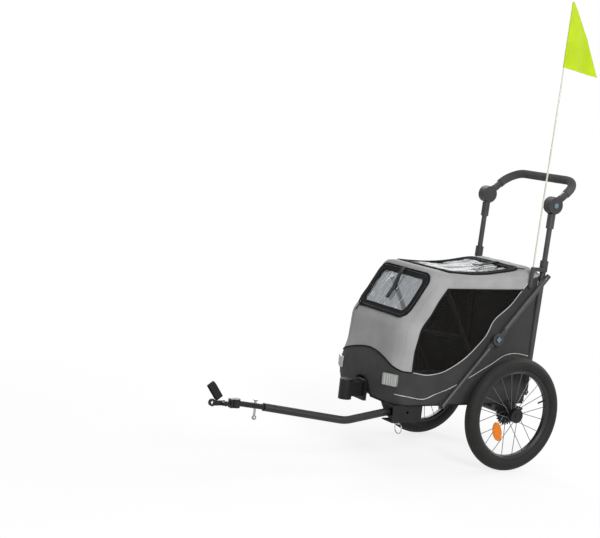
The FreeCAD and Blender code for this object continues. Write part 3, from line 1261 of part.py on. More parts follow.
def frontPlate():
    # a plate on the nose corner, its back cut to the cabin's form
    turn = math.radians(v.plateTurn)
    ahead = Vec(math.sin(turn), -math.cos(turn), 0)
    across = Vec(math.cos(turn), math.sin(turn), 0)
    centre = Vec(v.cabinHalf - v.noseCorner, v.noseCorner - v.noseBulge, v.plateLow + v.plateHeight / 2)
    face = roundedFace(centre + ahead * (v.noseCorner + v.plate), across, Vec(0, 0, 1), v.plateWidth / 2,
                       v.plateHeight / 2, v.plate)
    return face.extrude(ahead * (-4 * v.plate)).cut(cabinForm(-v.runGap))


subPart("front_reflectors", bothSides("frontReflectors", shaped("frontPlate", frontPlate())))

# flag: a slim pole in its socket, and a pennant whose sleeve grips the pole
poleRod = rod("poleRod", "poleRadius", "poleTop - poleFoot", "poleX", "-poleAhead", "poleFoot")
subPart("flag_pole", standing(group("flagPole", poleRod)))


def pennant():
    # a folded sheet standing behind the pole, trimmed to a pennant
    rise = v.flagHoist + v.flagDrop
    pole = Vec(v.poleX, -v.poleAhead, v.poleTop - v.flagHoist)
    run = v.flagFly / 4
    start = v.flagHem - v.flagThick / 2
    edges = []
    for i in range(4):
        bulge = v.flagWave if i % 2 else -v.flagWave
        first = Vec(0, start + run * i, 0)
        edges.append(arc(first, first + Vec(bulge, run / 2, 0), first + Vec(0, run, 0)))
    cloth = Part.Wire(edges).makeOffset2D(v.flagThick, fill=True, openResult=True)
    sheetSolid = cloth.extrude(Vec(0, 0, rise))
    sheetSolid.translate(pole - Vec(0, 0, v.flagDrop))
    fly = start + v.flagFly + v.flagThick
    corners = [Vec(-fly, 0, v.flagHoist), Vec(-fly, 0, 0), Vec(-fly, fly, -v.flagDrop),
               Vec(-fly, 0.55 * fly, v.flagHoist * 0.52)]
    trim = Part.Face(Part.makePolygon(corners + corners[:1])).extrude(Vec(2 * fly, 0, 0))
    trim.translate(pole)
    hem = Part.makeCylinder(v.flagHem, v.flagHoist, pole, Vec(0, 0, 1))
    bore = Part.makeCylinder(v.poleRadius, 2 * v.flagHoist, pole - Vec(0, 0, v.flagHoist / 2), Vec(0, 0, 1))
    return sheetSolid.common(trim).fuse(hem).cut(bore)


subPart("flag", standing(shaped("flag", pennant())))

# every object has to be sound before anything is written
doc.recompute()
for obj in doc.Objects:
    if "Invalid" in obj.State or "Error" in obj.State:
        raise RuntimeError(obj.Name + " failed to build")
for obj in subParts:
    if obj.Shape.isNull() or not obj.Shape.isValid():
        raise RuntimeError(obj.Label + " has no valid shape")
os.makedirs("parts", exist_ok=True)
for obj in subParts:
    obj.Shape.exportStep("parts/" + obj.Label + ".step")
    print(obj.Label, len(obj.Shape.Solids), "solids", round(obj.Shape.Volume), "mm3")
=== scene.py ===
import bpy
import math
from mathutils import Matrix, Vector, noise
from mathutils.geometry import delaunay_2d_cdt


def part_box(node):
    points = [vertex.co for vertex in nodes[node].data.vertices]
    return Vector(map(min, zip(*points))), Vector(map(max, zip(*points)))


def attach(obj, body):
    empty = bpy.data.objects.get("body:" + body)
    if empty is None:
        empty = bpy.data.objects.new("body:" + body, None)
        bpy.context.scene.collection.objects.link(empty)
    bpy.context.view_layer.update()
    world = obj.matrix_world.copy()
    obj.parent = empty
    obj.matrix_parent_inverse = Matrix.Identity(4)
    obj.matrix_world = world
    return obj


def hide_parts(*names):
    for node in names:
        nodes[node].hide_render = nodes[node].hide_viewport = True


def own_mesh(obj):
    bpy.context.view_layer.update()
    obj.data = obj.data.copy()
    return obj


# Looks of a folding dog bike trailer.  Lengths of the pieces are mm, measured back from the
# wheel axle (y) and up from the ground (z); at() turns them into the frame's metres.

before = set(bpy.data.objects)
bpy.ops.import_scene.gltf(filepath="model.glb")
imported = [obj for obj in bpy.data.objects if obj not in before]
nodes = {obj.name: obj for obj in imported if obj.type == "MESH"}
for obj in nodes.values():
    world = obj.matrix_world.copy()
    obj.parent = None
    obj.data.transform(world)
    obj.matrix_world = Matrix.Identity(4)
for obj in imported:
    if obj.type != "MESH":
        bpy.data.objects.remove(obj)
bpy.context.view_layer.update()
axleY = 428.73  # wheel axle, mm behind the frame's origin
print("frame loaded:", len(nodes), "CAD nodes")


def at(x, y, z):
    return Vector((x, y + axleY, z)) / 1000


def deselect():
    if bpy.context.object and bpy.context.object.mode != "OBJECT":
        bpy.ops.object.mode_set(mode="OBJECT")
    bpy.ops.object.select_all(action="DESELECT")


def pick(obj):
    deselect()
    obj.select_set(True)
    bpy.context.view_layer.objects.active = obj


def applyModifiers(obj):
    pick(obj)
    for modifier in list(obj.modifiers):
        bpy.ops.object.modifier_apply(modifier=modifier.name)


def modify(obj, kind, **settings):
    modifier = obj.modifiers.new(kind.title(), kind)
    for key, value in settings.items():
        setattr(modifier, key, value)
    applyModifiers(obj)


def facesWhere(obj, test):
    # goes into edit mode with only the faces that pass the test selected
    bpy.ops.object.mode_set(mode="EDIT")
    bpy.ops.mesh.select_all(action="DESELECT")
    bpy.ops.object.mode_set(mode="OBJECT")
    for face in obj.data.polygons:
        face.select = test(face)
    bpy.ops.object.mode_set(mode="EDIT")


def settle(obj, body, material, smooth=40):
    # last steps of a new piece: place in its mesh, shading, finish, body
    pick(obj)
    bpy.ops.object.transform_apply(location=True, rotation=True, scale=True)
    bpy.ops.object.shade_smooth_by_angle(angle=math.radians(smooth))
    obj.data.materials.clear()
    obj.data.materials.append(material)
    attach(obj, body)
    return obj


# materials

def linear(hexText):
    # sRGB hex to linear RGBA
    parts = [int(hexText[i:i + 2], 16) / 255 for i in (1, 3, 5)]
    return [c / 12.92 if c <= 0.04045 else ((c + 0.055) / 1.055) ** 2.4 for c in parts] + [1]


def add(tree, kind, sockets=None, **settings):
    # one node with its settings, its socket values and its links
    made = tree.nodes.new("ShaderNode" + kind)
    for key, value in settings.items():
        setattr(made, key, value)
    for key, value in (sockets or {}).items():
        if isinstance(value, bpy.types.NodeSocket):
            tree.links.new(value, made.inputs[key])
        else:
            made.inputs[key].default_value = value
    return made


def finish(name, **values):
    # a new material with its Principled shader set to constant values
    material = bpy.data.materials.new(name)
    material.use_nodes = True
    shader = material.node_tree.nodes["Principled BSDF"]
    for key, value in values.items():
        shader.inputs[key.replace("_", " ")].default_value = value
    return material, material.node_tree, shader


def mottled(tree, shader, coords, dark, light, scale):
    # slow change between two close colours, as dye and handling leave
    patches = add(tree, "TexNoise", {"Vector": coords, "Scale": scale, "Detail": 4.0})
    ramp = add(tree, "ValToRGB", {"Fac": patches.outputs["Fac"]})
    ramp.color_ramp.elements[0].position = 0.35
    ramp.color_ramp.elements[1].position = 0.65
    ramp.color_ramp.elements[0].color = linear(dark)
    ramp.color_ramp.elements[1].color = linear(light)
    tree.links.new(ramp.outputs["Color"], shader.inputs["Base Color"])


def perMetre(mm):
    # noise cells per metre for cells of that size
    return 1000 / mm


def bandScale(mm):
    # Wave scale whose bands repeat every mm
    return 2 * math.pi * 1000 / mm / 20


def wovenCloth(name, dark, light, threadMm, sheen, roughness, depth=0.35):
    # woven polyester: matt, with a faint sheen and crossing threads
    material, tree, shader = finish(name, Roughness=roughness, Specular_IOR_Level=0.2, Sheen_Weight=sheen,
                                    Sheen_Roughness=0.5)
    coords = add(tree, "TexCoord").outputs["Object"]
    mottled(tree, shader, coords, dark, light, perMetre(90))
    heights = []
    for direction in ("X", "Y", "Z"):
        wave = add(tree, "TexWave", {"Vector": coords, "Scale": bandScale(threadMm), "Distortion": 0.4,
                                     "Detail": 1.0}, bands_direction=direction)
        heights.append(wave.outputs["Fac"])
    warp = add(tree, "Math", {0: heights[0], 1: heights[1]}, operation="ADD")
    weave = add(tree, "Math", {0: warp.outputs[0], 1: heights[2]}, operation="ADD")
    creases = add(tree, "TexNoise", {"Vector": coords, "Scale": perMetre(45), "Detail": 3.0})
    both = add(tree, "Math", {0: weave.outputs[0], 1: creases.outputs["Fac"]}, operation="ADD")
    bump = add(tree, "Bump", {"Height": both.outputs[0], "Strength": depth, "Distance": 0.0006})
    tree.links.new(bump.outputs["Normal"], shader.inputs["Normal"])
    return material


def grained(name, dark, light, grainMm, depth, **values):
    # moulded or coated surface: fine even grit and a slight change of colour
    material, tree, shader = finish(name, **values)
    coords = add(tree, "TexCoord").outputs["Object"]
    mottled(tree, shader, coords, dark, light, perMetre(60))
    grit = add(tree, "TexNoise", {"Vector": coords, "Scale": perMetre(grainMm), "Detail": 2.0})
    bump = add(tree, "Bump", {"Height": grit.outputs["Fac"], "Strength": depth, "Distance": 0.0004})
    tree.links.new(bump.outputs["Normal"], shader.inputs["Normal"])
    return material


# threads under 1 mm are too fine to show at this size, so the weaves are drawn at 2 to 3 mm
canopyCloth = wovenCloth("woven polyester, grey", "#8f8f90", "#9c9c9d", 3.0, 0.15, 0.8)
darkCloth = wovenCloth("woven polyester, charcoal", "#2f2f30", "#373738", 3.0, 0.08, 0.75)
padCloth = wovenCloth("quilted polyester, black", "#2a2a2c", "#343437", 3.0, 0.2, 0.85)
bandCloth = wovenCloth("ribbed binding tape, black", "#0b0b0c", "#121213", 2.5, 0.0, 0.85, 0.5)
webbing = wovenCloth("nylon webbing, black", "#131314", "#1b1b1c", 2.5, 0.03, 0.7, 0.6)
pipingCloth = wovenCloth("piping cord, pale grey", "#aeb0b1", "#c2c4c5", 2.0, 0.1, 0.6)
tubePaint = grained("powder coat on steel tube", "#333335", "#3c3c3e", 1.2, 0.12, Roughness=0.42,
                    Specular_IOR_Level=0.35)
blackPaint = grained("powder coat on steel tube, black", "#191919", "#212120", 1.2, 0.12, Roughness=0.42,
                     Specular_IOR_Level=0.35)
blackPlastic = grained("moulded nylon, black", "#131314", "#1a1a1b", 1.5, 0.2, Roughness=0.45,
                       Specular_IOR_Level=0.25)
greyPlastic = grained("moulded nylon, charcoal", "#303032", "#3a3a3c", 1.5, 0.2, Roughness=0.45,
                      Specular_IOR_Level=0.3)
rimPaint = grained("anodised aluminium, black", "#161617", "#1f1f20", 2.0, 0.06, Roughness=0.35, Metallic=0.2)
foam = grained("EVA foam, charcoal", "#424243", "#4d4d4e", 1.6, 0.6, Roughness=0.9, Specular_IOR_Level=0.2)
buttonPlastic = grained("moulded ABS, grey blue", "#53737d", "#60818c", 1.5, 0.1, Roughness=0.4)
steel = grained("zinc plated steel", "#9c9c99", "#b4b4b0", 1.5, 0.08, Roughness=0.3, Metallic=1.0)
spokeSteel = grained("drawn stainless wire", "#5c5c5b", "#707070", 2.0, 0.05, Roughness=0.3, Metallic=1.0)
boardPaint = grained("painted plywood", "#2f2c29", "#393531", 8.0, 0.3, Roughness=0.7)
poleGloss = grained("pulled glass fibre rod, white", "#b7b8aa", "#c4c5b8", 3.0, 0.05, Roughness=0.35)
# silver for the strip on top of the bar sleeves: partly reflective tape, partly painted highlight where the
# light falls
silverTapeAndHighlight = grained("reflective tape, silver, with painted highlight", "#6f7275", "#8b8e91", 2.0, 0.25, Roughness=0.35, Metallic=0.3)
flagCloth = wovenCloth("fluorescent nylon", "#a5bf00", "#b0ca04", 3.0, 0.25, 0.6)


tyreCut = dict(axleHigh=0.2, blocks=110.0, slant=500.0, ribMm=8, ringMm=5, ringShare=0.25, treadFrom=0.188,
               treadFull=0.191)  # metres; 110 blocks round the tread, one every 11 mm


def tyreRubber():
    # vulcanised rubber: dull black, moulded blocks on the tread and rings on the wall
    material, tree, shader = finish("vulcanised rubber", Roughness=0.68, Specular_IOR_Level=0.3)
    coords = add(tree, "TexCoord").outputs["Object"]
    mottled(tree, shader, coords, "#121211", "#191917", perMetre(40))
    centred = add(tree, "Mapping", {"Vector": coords, "Location": (0, -axleY / 1000, -tyreCut["axleHigh"])})
    split = add(tree, "SeparateXYZ", {"Vector": centred.outputs["Vector"]})
    x, y, z = (split.outputs[i] for i in range(3))
    angle = add(tree, "Math", {0: z, 1: y}, operation="ARCTAN2").outputs[0]
    square = add(tree, "Math", {0: y, 1: y}, operation="MULTIPLY").outputs[0]
    reach = add(tree, "Math", {0: z, 1: z, 2: square}, operation="MULTIPLY_ADD").outputs[0]
    radius = add(tree, "Math", {0: reach}, operation="SQRT").outputs[0]
    side = add(tree, "Math", {0: x}, operation="ABSOLUTE").outputs[0]
    blocks = add(tree, "Math", {0: angle, 1: tyreCut["blocks"]}, operation="MULTIPLY").outputs[0]
    slanted = add(tree, "Math", {0: side, 1: tyreCut["slant"], 2: blocks}, operation="MULTIPLY_ADD")
    notch = add(tree, "Math", {0: slanted.outputs[0]}, operation="SINE").outputs[0]
    groove = add(tree, "Math", {0: side, 1: 2 * math.pi * perMetre(tyreCut["ribMm"])}, operation="MULTIPLY")
    ribs = add(tree, "Math", {0: groove.outputs[0]}, operation="COSINE").outputs[0]
    tread = add(tree, "Math", {0: notch, 1: ribs}, operation="MAXIMUM").outputs[0]
    rings = add(tree, "Math", {0: radius, 1: 2 * math.pi * perMetre(tyreCut["ringMm"])}, operation="MULTIPLY")
    wall = add(tree, "Math", {0: rings.outputs[0]}, operation="SINE").outputs[0]
    wallLow = add(tree, "Math", {0: wall, 1: tyreCut["ringShare"]}, operation="MULTIPLY").outputs[0]
    onTread = add(tree, "MapRange", {"Value": radius, "From Min": tyreCut["treadFrom"],
                                     "From Max": tyreCut["treadFull"]}).outputs["Result"]
    mixed = add(tree, "Mix", {"Factor": onTread, "A": wallLow, "B": tread}).outputs["Result"]
    bump = add(tree, "Bump", {"Height": mixed, "Strength": 0.7, "Distance": 0.0012})
    tree.links.new(bump.outputs["Normal"], shader.inputs["Normal"])
    return material


def prismPlate(name, dark, light, cellMm, **values):
    # moulded prism plate: small facets under a glossy face
    material, tree, shader = finish(name, Roughness=0.22, Coat_Weight=0.25, Coat_Roughness=0.08, **values)
    coords = add(tree, "TexCoord").outputs["Object"]
    cells = add(tree, "TexVoronoi", {"Vector": coords, "Scale": perMetre(cellMm), "Randomness": 0.15})
    ramp = add(tree, "ValToRGB", {"Fac": cells.outputs["Distance"]})
    ramp.color_ramp.elements[0].color = linear(light)
    ramp.color_ramp.elements[1].color = linear(dark)
    ramp.color_ramp.elements[1].position = 0.7
    tree.links.new(ramp.outputs["Color"], shader.inputs["Base Color"])
    bump = add(tree, "Bump", {"Height": cells.outputs["Distance"], "Strength": 0.6, "Distance": 0.001})
    tree.links.new(bump.outputs["Normal"], shader.inputs["Normal"])
    return material


def meshNet():
    # knitted polyester net: black threads with open cells between them
    material, tree, shader = finish("knitted net, black", Roughness=0.85, Specular_IOR_Level=0.1)
    coords = add(tree, "TexCoord").outputs["Object"]
    mottled(tree, shader, coords, "#171614", "#201f1c", perMetre(120))
    heights = []
    for direction in ("Y", "Z"):  # cells of 1.8 mm
        wave = add(tree, "TexWave", {"Vector": coords, "Scale": bandScale(1.8)}, bands_direction=direction)
        heights.append(wave.outputs["Fac"])
    cells = add(tree, "Math", {0: heights[0], 1: heights[1]}, operation="MULTIPLY").outputs[0]
    thread = add(tree, "MapRange", {"Value": cells, "From Min": 0.0, "From Max": 1.0, "To Min": 0.55,
                                    "To Max": 0.08})
    tree.links.new(thread.outputs["Result"], shader.inputs["Alpha"])
    bump = add(tree, "Bump", {"Height": cells, "Strength": 0.4, "Distance": 0.0005})
    tree.links.new(bump.outputs["Normal"], shader.inputs["Normal"])
    return material


def clearFilm(name, tint, creaseAndGlintWidth, creaseAndGlintClear):
    # clear PVC film: glossy and nearly clear, with milky white lines along its creases that also paint in
    # white streaks of reflected light
    material, tree, shader = finish(name, Roughness=0.06, IOR=1.53)
    shader.inputs["Base Color"].default_value = linear(tint)
    coords = add(tree, "TexCoord").outputs["Object"]
    turned = add(tree, "Mapping", {"Vector": coords, "Rotation": (0.4, 0.5, 0.9), "Scale": (1.0, 0.1, 0.16)})
    creases = add(tree, "TexNoise", {"Vector": turned.outputs["Vector"], "Scale": perMetre(30), "Detail": 1.5,
                                     "Distortion": 0.15}).outputs["Fac"]
    ridge = add(tree, "Math", {0: creases, 1: 0.5}, operation="SUBTRACT").outputs[0]
    line = add(tree, "Math", {0: ridge}, operation="ABSOLUTE").outputs[0]
    milkyAndGlint = add(tree, "MapRange", {"Value": line, "From Min": 0.0, "From Max": creaseAndGlintWidth, "To Min": creaseAndGlintClear,
                                  "To Max": 0.98})
    tree.links.new(milkyAndGlint.outputs["Result"], shader.inputs["Transmission Weight"])
    bump = add(tree, "Bump", {"Height": creases, "Strength": 0.5, "Distance": 0.008})
    tree.links.new(bump.outputs["Normal"], shader.inputs["Normal"])
    return material


rubber = tyreRubber()
amber = prismPlate("prismatic acrylic, amber", "#bd5600", "#f39200", 4.0, Specular_IOR_Level=0.2)
whitePrism = prismPlate("prismatic acrylic, clear", "#7f817e", "#bfc1bd", 4.0)
net = meshNet()
# the films' white crease lines are partly painted reflection; the roof film's lines are wider and paler,
# painting in its pane's bright reflection
frontFilm = clearFilm("clear PVC film", "#cdd2d8", 0.022, 0.0)
roofFilm = clearFilm("clear PVC film, milky", "#f4f7fa", 0.09, 0.1)
print("materials made")

# CAD nodes that stay get the finish of the real piece
nodeFinish = {
    rubber: ["tyre_left", "tyre_right"],
    rimPaint: ["rim_left", "rim_right"],
    spokeSteel: ["spokes_left", "spokes_right"],
    amber: ["spoke_reflector_left", "spoke_reflector_right"],
    blackPlastic: ["hub_left", "hub_right", "release_button_left", "release_button_right", "wheel_receiver",
                   "hitch_tongue", "hitch_swivel", "coupler_arm", "drawbar_bracket", "strut_button_left",
                   "strut_button_right"],
    greyPlastic: ["handle_collars", "tilt_sleeves", "tilt_hubs", "handle_bands"],
    tubePaint: ["axle_beam", "base_frame", "frame_brackets", "rear_hinges", "rear_frame", "handle_posts",
                "handle_bar", "brake_bar", "roof_hoop", "nose_hoop", "frame_pins", "upper_strut_left",
                "upper_strut_right", "lower_strut_left", "lower_strut_right"],
    blackPaint: ["drawbar"],
    steel: ["axle_sockets", "drawbar_pin", "hitch_pin"],
    buttonPlastic: ["tilt_button_left", "tilt_button_right"],
    boardPaint: ["floor_board"],
    whitePrism: ["front_reflectors"],
    poleGloss: ["flag_pole"],
}
for material, names in nodeFinish.items():
    for name in names:
        nodes[name].data.materials.clear()
        nodes[name].data.materials.append(material)
print("CAD nodes finished")

# cabin cover: one wall unrolled from the front's middle round the corner to the rear, and a roof
cover = dict(halfWidth=190, rear=100, hem=222, corner=70, shoulder=488, roofFront=676, roofRear=702,
             noseTop=318, edgeDrop=13, roofSag=15, sideDroop=14, droopFrom=100, thickness=1.4,
             wrinkle=1.6, roofPucker=50, boundaryStep=7, gridStep=10, folded=0.3)
nose = dict(hem=453, bellyZ=290, belly=468, chinZ=380, chin=447, shoulder=441, soften=15, softenStep=5)
slackCut = dict(side=6, sideLow=240, sideTall=400, sideFront=-400, sideLong=500, chin=3, chinWide=160,
                pucker=46, finePucker=21, heldTo=215, heldFade=40)
step = cover["boundaryStep"]
frontFlat = cover["halfWidth"] - cover["corner"]
cornerEnd = frontFlat + cover["corner"] * math.pi / 2
slopeTall = cover["roofFront"] - cover["shoulder"]
slopeDeep = nose["shoulder"] - cover["noseTop"]
slopeRise = slopeTall / math.hypot(slopeTall, slopeDeep)  # height gained for each mm along the front slope


def share(value, start, length):
    # how far value has come along a run, from 0 to 1
    return min(max((value - start) / length, 0), 1)


def noseReach(z):
    # how far the front stands before the axle at height z, with its bends softened
    chinZ, top = nose["chinZ"], cover["shoulder"]
    a, b, c = (cover["hem"], nose["hem"]), (nose["bellyZ"], nose["belly"]), (chinZ, nose["chin"])

    def sharp(h):
        if h >= top:
            return nose["shoulder"] - (h - top) * slopeDeep / slopeTall
        if h >= chinZ:
            return nose["chin"] - (h - chinZ) * (nose["chin"] - nose["shoulder"]) / (top - chinZ)
        # parabola through hem, belly and chin
        return sum(p[1] * (h - q[0]) * (h - r[0]) / ((p[0] - q[0]) * (p[0] - r[0]))
                   for p, q, r in ((a, b, c), (b, a, c), (c, a, b)))
    offsets = range(-nose["soften"], nose["soften"] + 1, nose["softenStep"])
    return sum(sharp(z + d) for d in offsets) / len(offsets)


def roofHeight(x, y):
    run = (y + cover["noseTop"]) / (cover["rear"] + cover["noseTop"])
    sag = cover["roofSag"] * math.sin(math.pi * min(max(run, 0), 1)) ** 1.5
    aside = max(abs(x) - cover["droopFrom"], 0) / (cover["halfWidth"] - cover["droopFrom"])
    droop = cover["sideDroop"] * aside ** 2
    return cover["roofFront"] + run * (cover["roofRear"] - cover["roofFront"]) - sag - droop


def wallFlat(s, z):
    # point of the unrolled wall, before its wrinkles
    reach = noseReach(z)
    if s <= frontFlat:
        return Vector((s, -reach, z))
    if s >= cornerEnd:
        return Vector((cover["halfWidth"], s - cornerEnd - reach + cover["corner"], z))
    turn = (s - frontFlat) / cover["corner"]
    return Vector((frontFlat + cover["corner"] * math.sin(turn),
                   -reach + cover["corner"] * (1 - math.cos(turn)), z))


def wallNormal(s, z):
    along = wallFlat(s + 1, z) - wallFlat(s - 1, z)
    up = wallFlat(s, z + 1) - wallFlat(s, z - 1)
    return along.cross(up).normalized()


def wallPoint(s, z, lift=0):
    # wall with its slack: hollow between the tubes, lightly puckered, held flat at the hem
    cut = slackCut
    p = wallFlat(s, z)
    slack = 0
    if s > cornerEnd:
        deep = share(z, cut["sideLow"], cut["sideTall"])
        back = share(p.y, cut["sideFront"], cut["sideLong"])
        slack = -cut["side"] * math.sin(math.pi * deep) * math.sin(math.pi * back)
    elif z < cover["shoulder"]:
        deep = share(z, nose["chinZ"], cover["shoulder"] - nose["chinZ"])
        slack = -cut["chin"] * math.sin(math.pi * deep) * max(1 - s / cut["chinWide"], 0)
    pucker = (noise.noise(Vector((s * 0.6, z, 3.0)) / cut["pucker"])
              + 0.5 * noise.noise(Vector((s, z * 0.7, 9.0)) / cut["finePucker"]))
    loose = min((z - cut["heldTo"]) / cut["heldFade"], 1)
    return p + wallNormal(s, z) * (slack + pucker * cover["wrinkle"] * loose + lift)


def sideAt(y, z):
    # side wall place given by its y: (s, z) on the unrolled wall
    return (cornerEnd + y + noseReach(z) - cover["corner"], z)


def spline(points):
    # smooth line through points, cut into equal short runs
    pts = [Vector(p) for p in points]
    pts = [2 * pts[0] - pts[1]] + pts + [2 * pts[-1] - pts[-2]]
    line = []
    for i in range(1, len(pts) - 2):
        a, b, c, d = pts[i - 1:i + 3]
        count = max(2, round((c - b).length / step))
        for k in range(count):
            t = k / count
            line.append(0.5 * ((2 * b) + (c - a) * t + (2 * a - 5 * b + 4 * c - d) * t * t
                               + (3 * b - a - 3 * c + d) * t ** 3))
    line.append(pts[-2])
    return line


def straight(points, run=step):
    line = []
    for a, b in zip(points, points[1:]):
        a, b = Vector(a), Vector(b)
        count = max(1, round((b - a).length / run))
        line += [a.lerp(b, k / count) for k in range(count)]
    return line + [Vector(points[-1])]


def rounded(x0, x1, z0, z1, radius, run=step):
    # closed loop of a rectangle with round corners, 15 degrees to a step
    loop = []
    for cx, cz, start in ((x1 - radius, z1 - radius, 0), (x0 + radius, z1 - radius, 90),
                          (x0 + radius, z0 + radius, 180), (x1 - radius, z0 + radius, 270)):
        for degrees in range(start, start + 91, 15):
            a = math.radians(degrees)
            loop.append((cx + radius * math.cos(a), cz + radius * math.sin(a)))
    loop.append(loop[0])
    return straight(loop, run)[:-1]


def inside(p, loop):
    hit = False
    for a, b in zip(loop, loop[1:] + loop[:1]):
        if (a[1] > p[1]) != (b[1] > p[1]) and p[0] < (b[0] - a[0]) * (p[1] - a[1]) / (b[1] - a[1]) + a[0]:
            hit = not hit
    return hit


def clothPatch(outline, holes, lay, grid):
    # flat pattern piece with holes, filled with even triangles and laid on its surface
    loops = [[Vector((p[0], p[1])) for p in loop] for loop in [outline] + holes]
    rowStep = grid * 0.87  # height of an even triangle
    clear = (grid * 0.55) ** 2  # no grid point stands closer to the outline than this, squared

    def onCloth(p):
        return inside(p, loops[0]) and not any(inside(p, hole) for hole in loops[1:])
    points, edges = [], []
    for loop in loops:
        first = len(points)
        points += loop
        edges += [(first + i, first + (i + 1) % len(loop)) for i in range(len(loop))]
    border = list(points)
    low = Vector((min(p.x for p in border), min(p.y for p in border)))
    high = Vector((max(p.x for p in border), max(p.y for p in border)))
    for row in range(int((high.y - low.y) / rowStep) + 1):
        for col in range(int((high.x - low.x) / grid) + 2):
            p = Vector((low.x + (col + 0.5 * (row % 2)) * grid, low.y + row * rowStep))
            if onCloth(p) and min((p - q).length_squared for q in border) > clear:
                points.append(p)
    flat, _, faces, *_ = delaunay_2d_cdt(points, edges, [], 0, 1e-4)
    kept = [list(face) for face in faces
            if onCloth(sum((flat[i] for i in face), Vector((0, 0))) / len(face))]
    return [lay(p.x, p.y) for p in flat], kept


def sheetGrid(pointAt, columns, rows):
    # rows of points with a four-sided face between each four
    wide = columns + 1
    points = [pointAt(i, j) for j in range(rows + 1) for i in range(wide)]
    faces = [[j * wide + i, j * wide + i + 1, (j + 1) * wide + i + 1, (j + 1) * wide + i]
             for j in range(rows) for i in range(columns)]
    return points, faces


def stitch(name, patches):
    # patches put together in one mesh
    points, faces = [], []
    for p, f in patches:
        faces += [[i + len(points) for i in face] for face in f]
        points += [at(*q) for q in p]
    mesh = bpy.data.meshes.new(name)
    mesh.from_pydata(points, [], faces)
    obj = bpy.data.objects.new(name, mesh)
    bpy.context.scene.collection.objects.link(obj)
    return obj


def closeSeams(obj, reach):
    # points that meet are merged and the faces turned outwards
    pick(obj)
    bpy.ops.object.mode_set(mode="EDIT")
    bpy.ops.mesh.select_all(action="SELECT")
    bpy.ops.mesh.delete_loose()
    bpy.ops.mesh.select_all(action="SELECT")
    bpy.ops.mesh.remove_doubles(threshold=reach)
    bpy.ops.mesh.normals_make_consistent(inside=False)
    bpy.ops.object.mode_set(mode="OBJECT")


def sewn(obj, thickness, mirror=True):
    # both halves, seams closed, then the cloth's thickness
    if mirror:
        modify(obj, "MIRROR", use_axis=(True, False, False), use_mirror_merge=True, merge_threshold=0.0002)
    closeSeams(obj, 0.0001)
    modify(obj, "SOLIDIFY", thickness=thickness / 1000, offset=-1)
    return obj


def folding(obj):
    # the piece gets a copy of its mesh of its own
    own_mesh(obj)
    return obj


def tube(name, line, radius, closed=False, roundness=2):
    # round cord laid on a line of mm points
    curve = bpy.data.curves.new(name, "CURVE")
    curve.dimensions = "3D"
    curve.bevel_depth = radius / 1000
    curve.bevel_resolution = roundness
    curve.use_fill_caps = not closed
    run = curve.splines.new("POLY")
    run.points.add(len(line) - 1)
    for point, p in zip(run.points, line):
        point.co = (*at(*p), 1)
    run.use_cyclic_u = closed
    obj = bpy.data.objects.new(name, curve)
    bpy.context.scene.collection.objects.link(obj)
    pick(obj)
    bpy.ops.object.convert(target="MESH")
    return bpy.context.object


def bothSides(obj):
    modify(obj, "MIRROR", use_axis=(True, False, False))
    return obj


# pattern lines of the left half: hump and arch run along the unrolled wall, the others are (y, z) on the side
pattern = dict(
    hump=[(0, 385), (36, 382), (76, 374), (122, 361), (156, 348), (184, 339), (204, 337)],
    arch=[(0, 286), (18, 283), (34, 272), (41, 256), (43, 240), (43, 222)],
    upper=[(-398, 336), (-329, 327), (-256, 341), (-184, 379), (-118, 439), (-89, 478), (-65, 523), (-6, 574),
           (36, 628), (62, 655), (84, 676)],
    lower=[(-453, 259), (-409, 254), (-343, 244), (-290, 260), (-233, 279), (-173, 305), (-82, 350),
           (-20, 386), (13, 398), (50, 400), (98, 392)],
    meshFront=[(-398, 336), (-396, 392), (-386, 455), (-352, 525), (-316, 585), (-290, 622)],
    meshTop=[(-290, 622), (-180, 623), (-70, 624), (34, 626)],
    upperEnd=90, topRuns=90, rearRuns=60, rounds=12)
frontWindow = dict(half=150, low=26, high=210, radius=36, band=27)  # low and high along the front slope
roofWindow = dict(half=150, low=-284, high=54, radius=34, band=30)  # low and high along y


def topOfWall(s):
    # height where the wall meets the roof's rounding, closed in on by rounds
    z = cover["roofFront"]
    for _ in range(pattern["rounds"]):
        p = wallFlat(s, z)
        z = roofHeight(p.x, p.y) - cover["edgeDrop"]
    return z


def wallEnd(z):
    return cornerEnd + cover["rear"] + noseReach(z) - cover["corner"]


def backwards(line):
    return list(reversed(line))


def nearest(line, distance):
    # index of the point of a line where distance is least
    return min(range(len(line)), key=lambda i: distance(line[i]))


rearTop = cover["roofFront"]
for _ in range(pattern["rounds"]):
    rearTop = topOfWall(wallEnd(rearTop))
wallRuns = [k * wallEnd(rearTop) / pattern["topRuns"] for k in range(pattern["topRuns"] + 1)]
topLine = straight([(s, topOfWall(s)) for s in wallRuns])
upperLine = spline([sideAt(*p) for p in pattern["upper"]])
seamTop = nearest(topLine, lambda p: abs(wallFlat(*p).y - pattern["upperEnd"]))
upperLine = upperLine[:-1] + straight([upperLine[-1], topLine[seamTop]])
humpLine = spline(pattern["hump"] + [sideAt(*pattern["upper"][0])])
archLine = spline(pattern["arch"])
meshFrontLine = spline([sideAt(*p) for p in pattern["meshFront"]])
meshTopLine = spline([sideAt(*p) for p in pattern["meshTop"]])
meetsTop = nearest(upperLine, lambda p: (p - meshTopLine[-1]).length)
meshTopLine[-1] = upperLine[meetsTop]


def slopeHeight(along):
    return cover["shoulder"] + along * slopeRise


def windowLoop(cut, inset, low, high):
    # corners tighten more slowly than the loop goes in
    return rounded(inset - cut["half"], cut["half"] - inset, low, high, cut["radius"] - 0.6 * inset)


def frontLoop(inset):
    cut = frontWindow
    return windowLoop(cut, inset, slopeHeight(cut["low"] + inset), slopeHeight(cut["high"] - inset))


def roofLoop(inset):
    return windowLoop(roofWindow, inset, roofWindow["low"] + inset, roofWindow["high"] - inset)


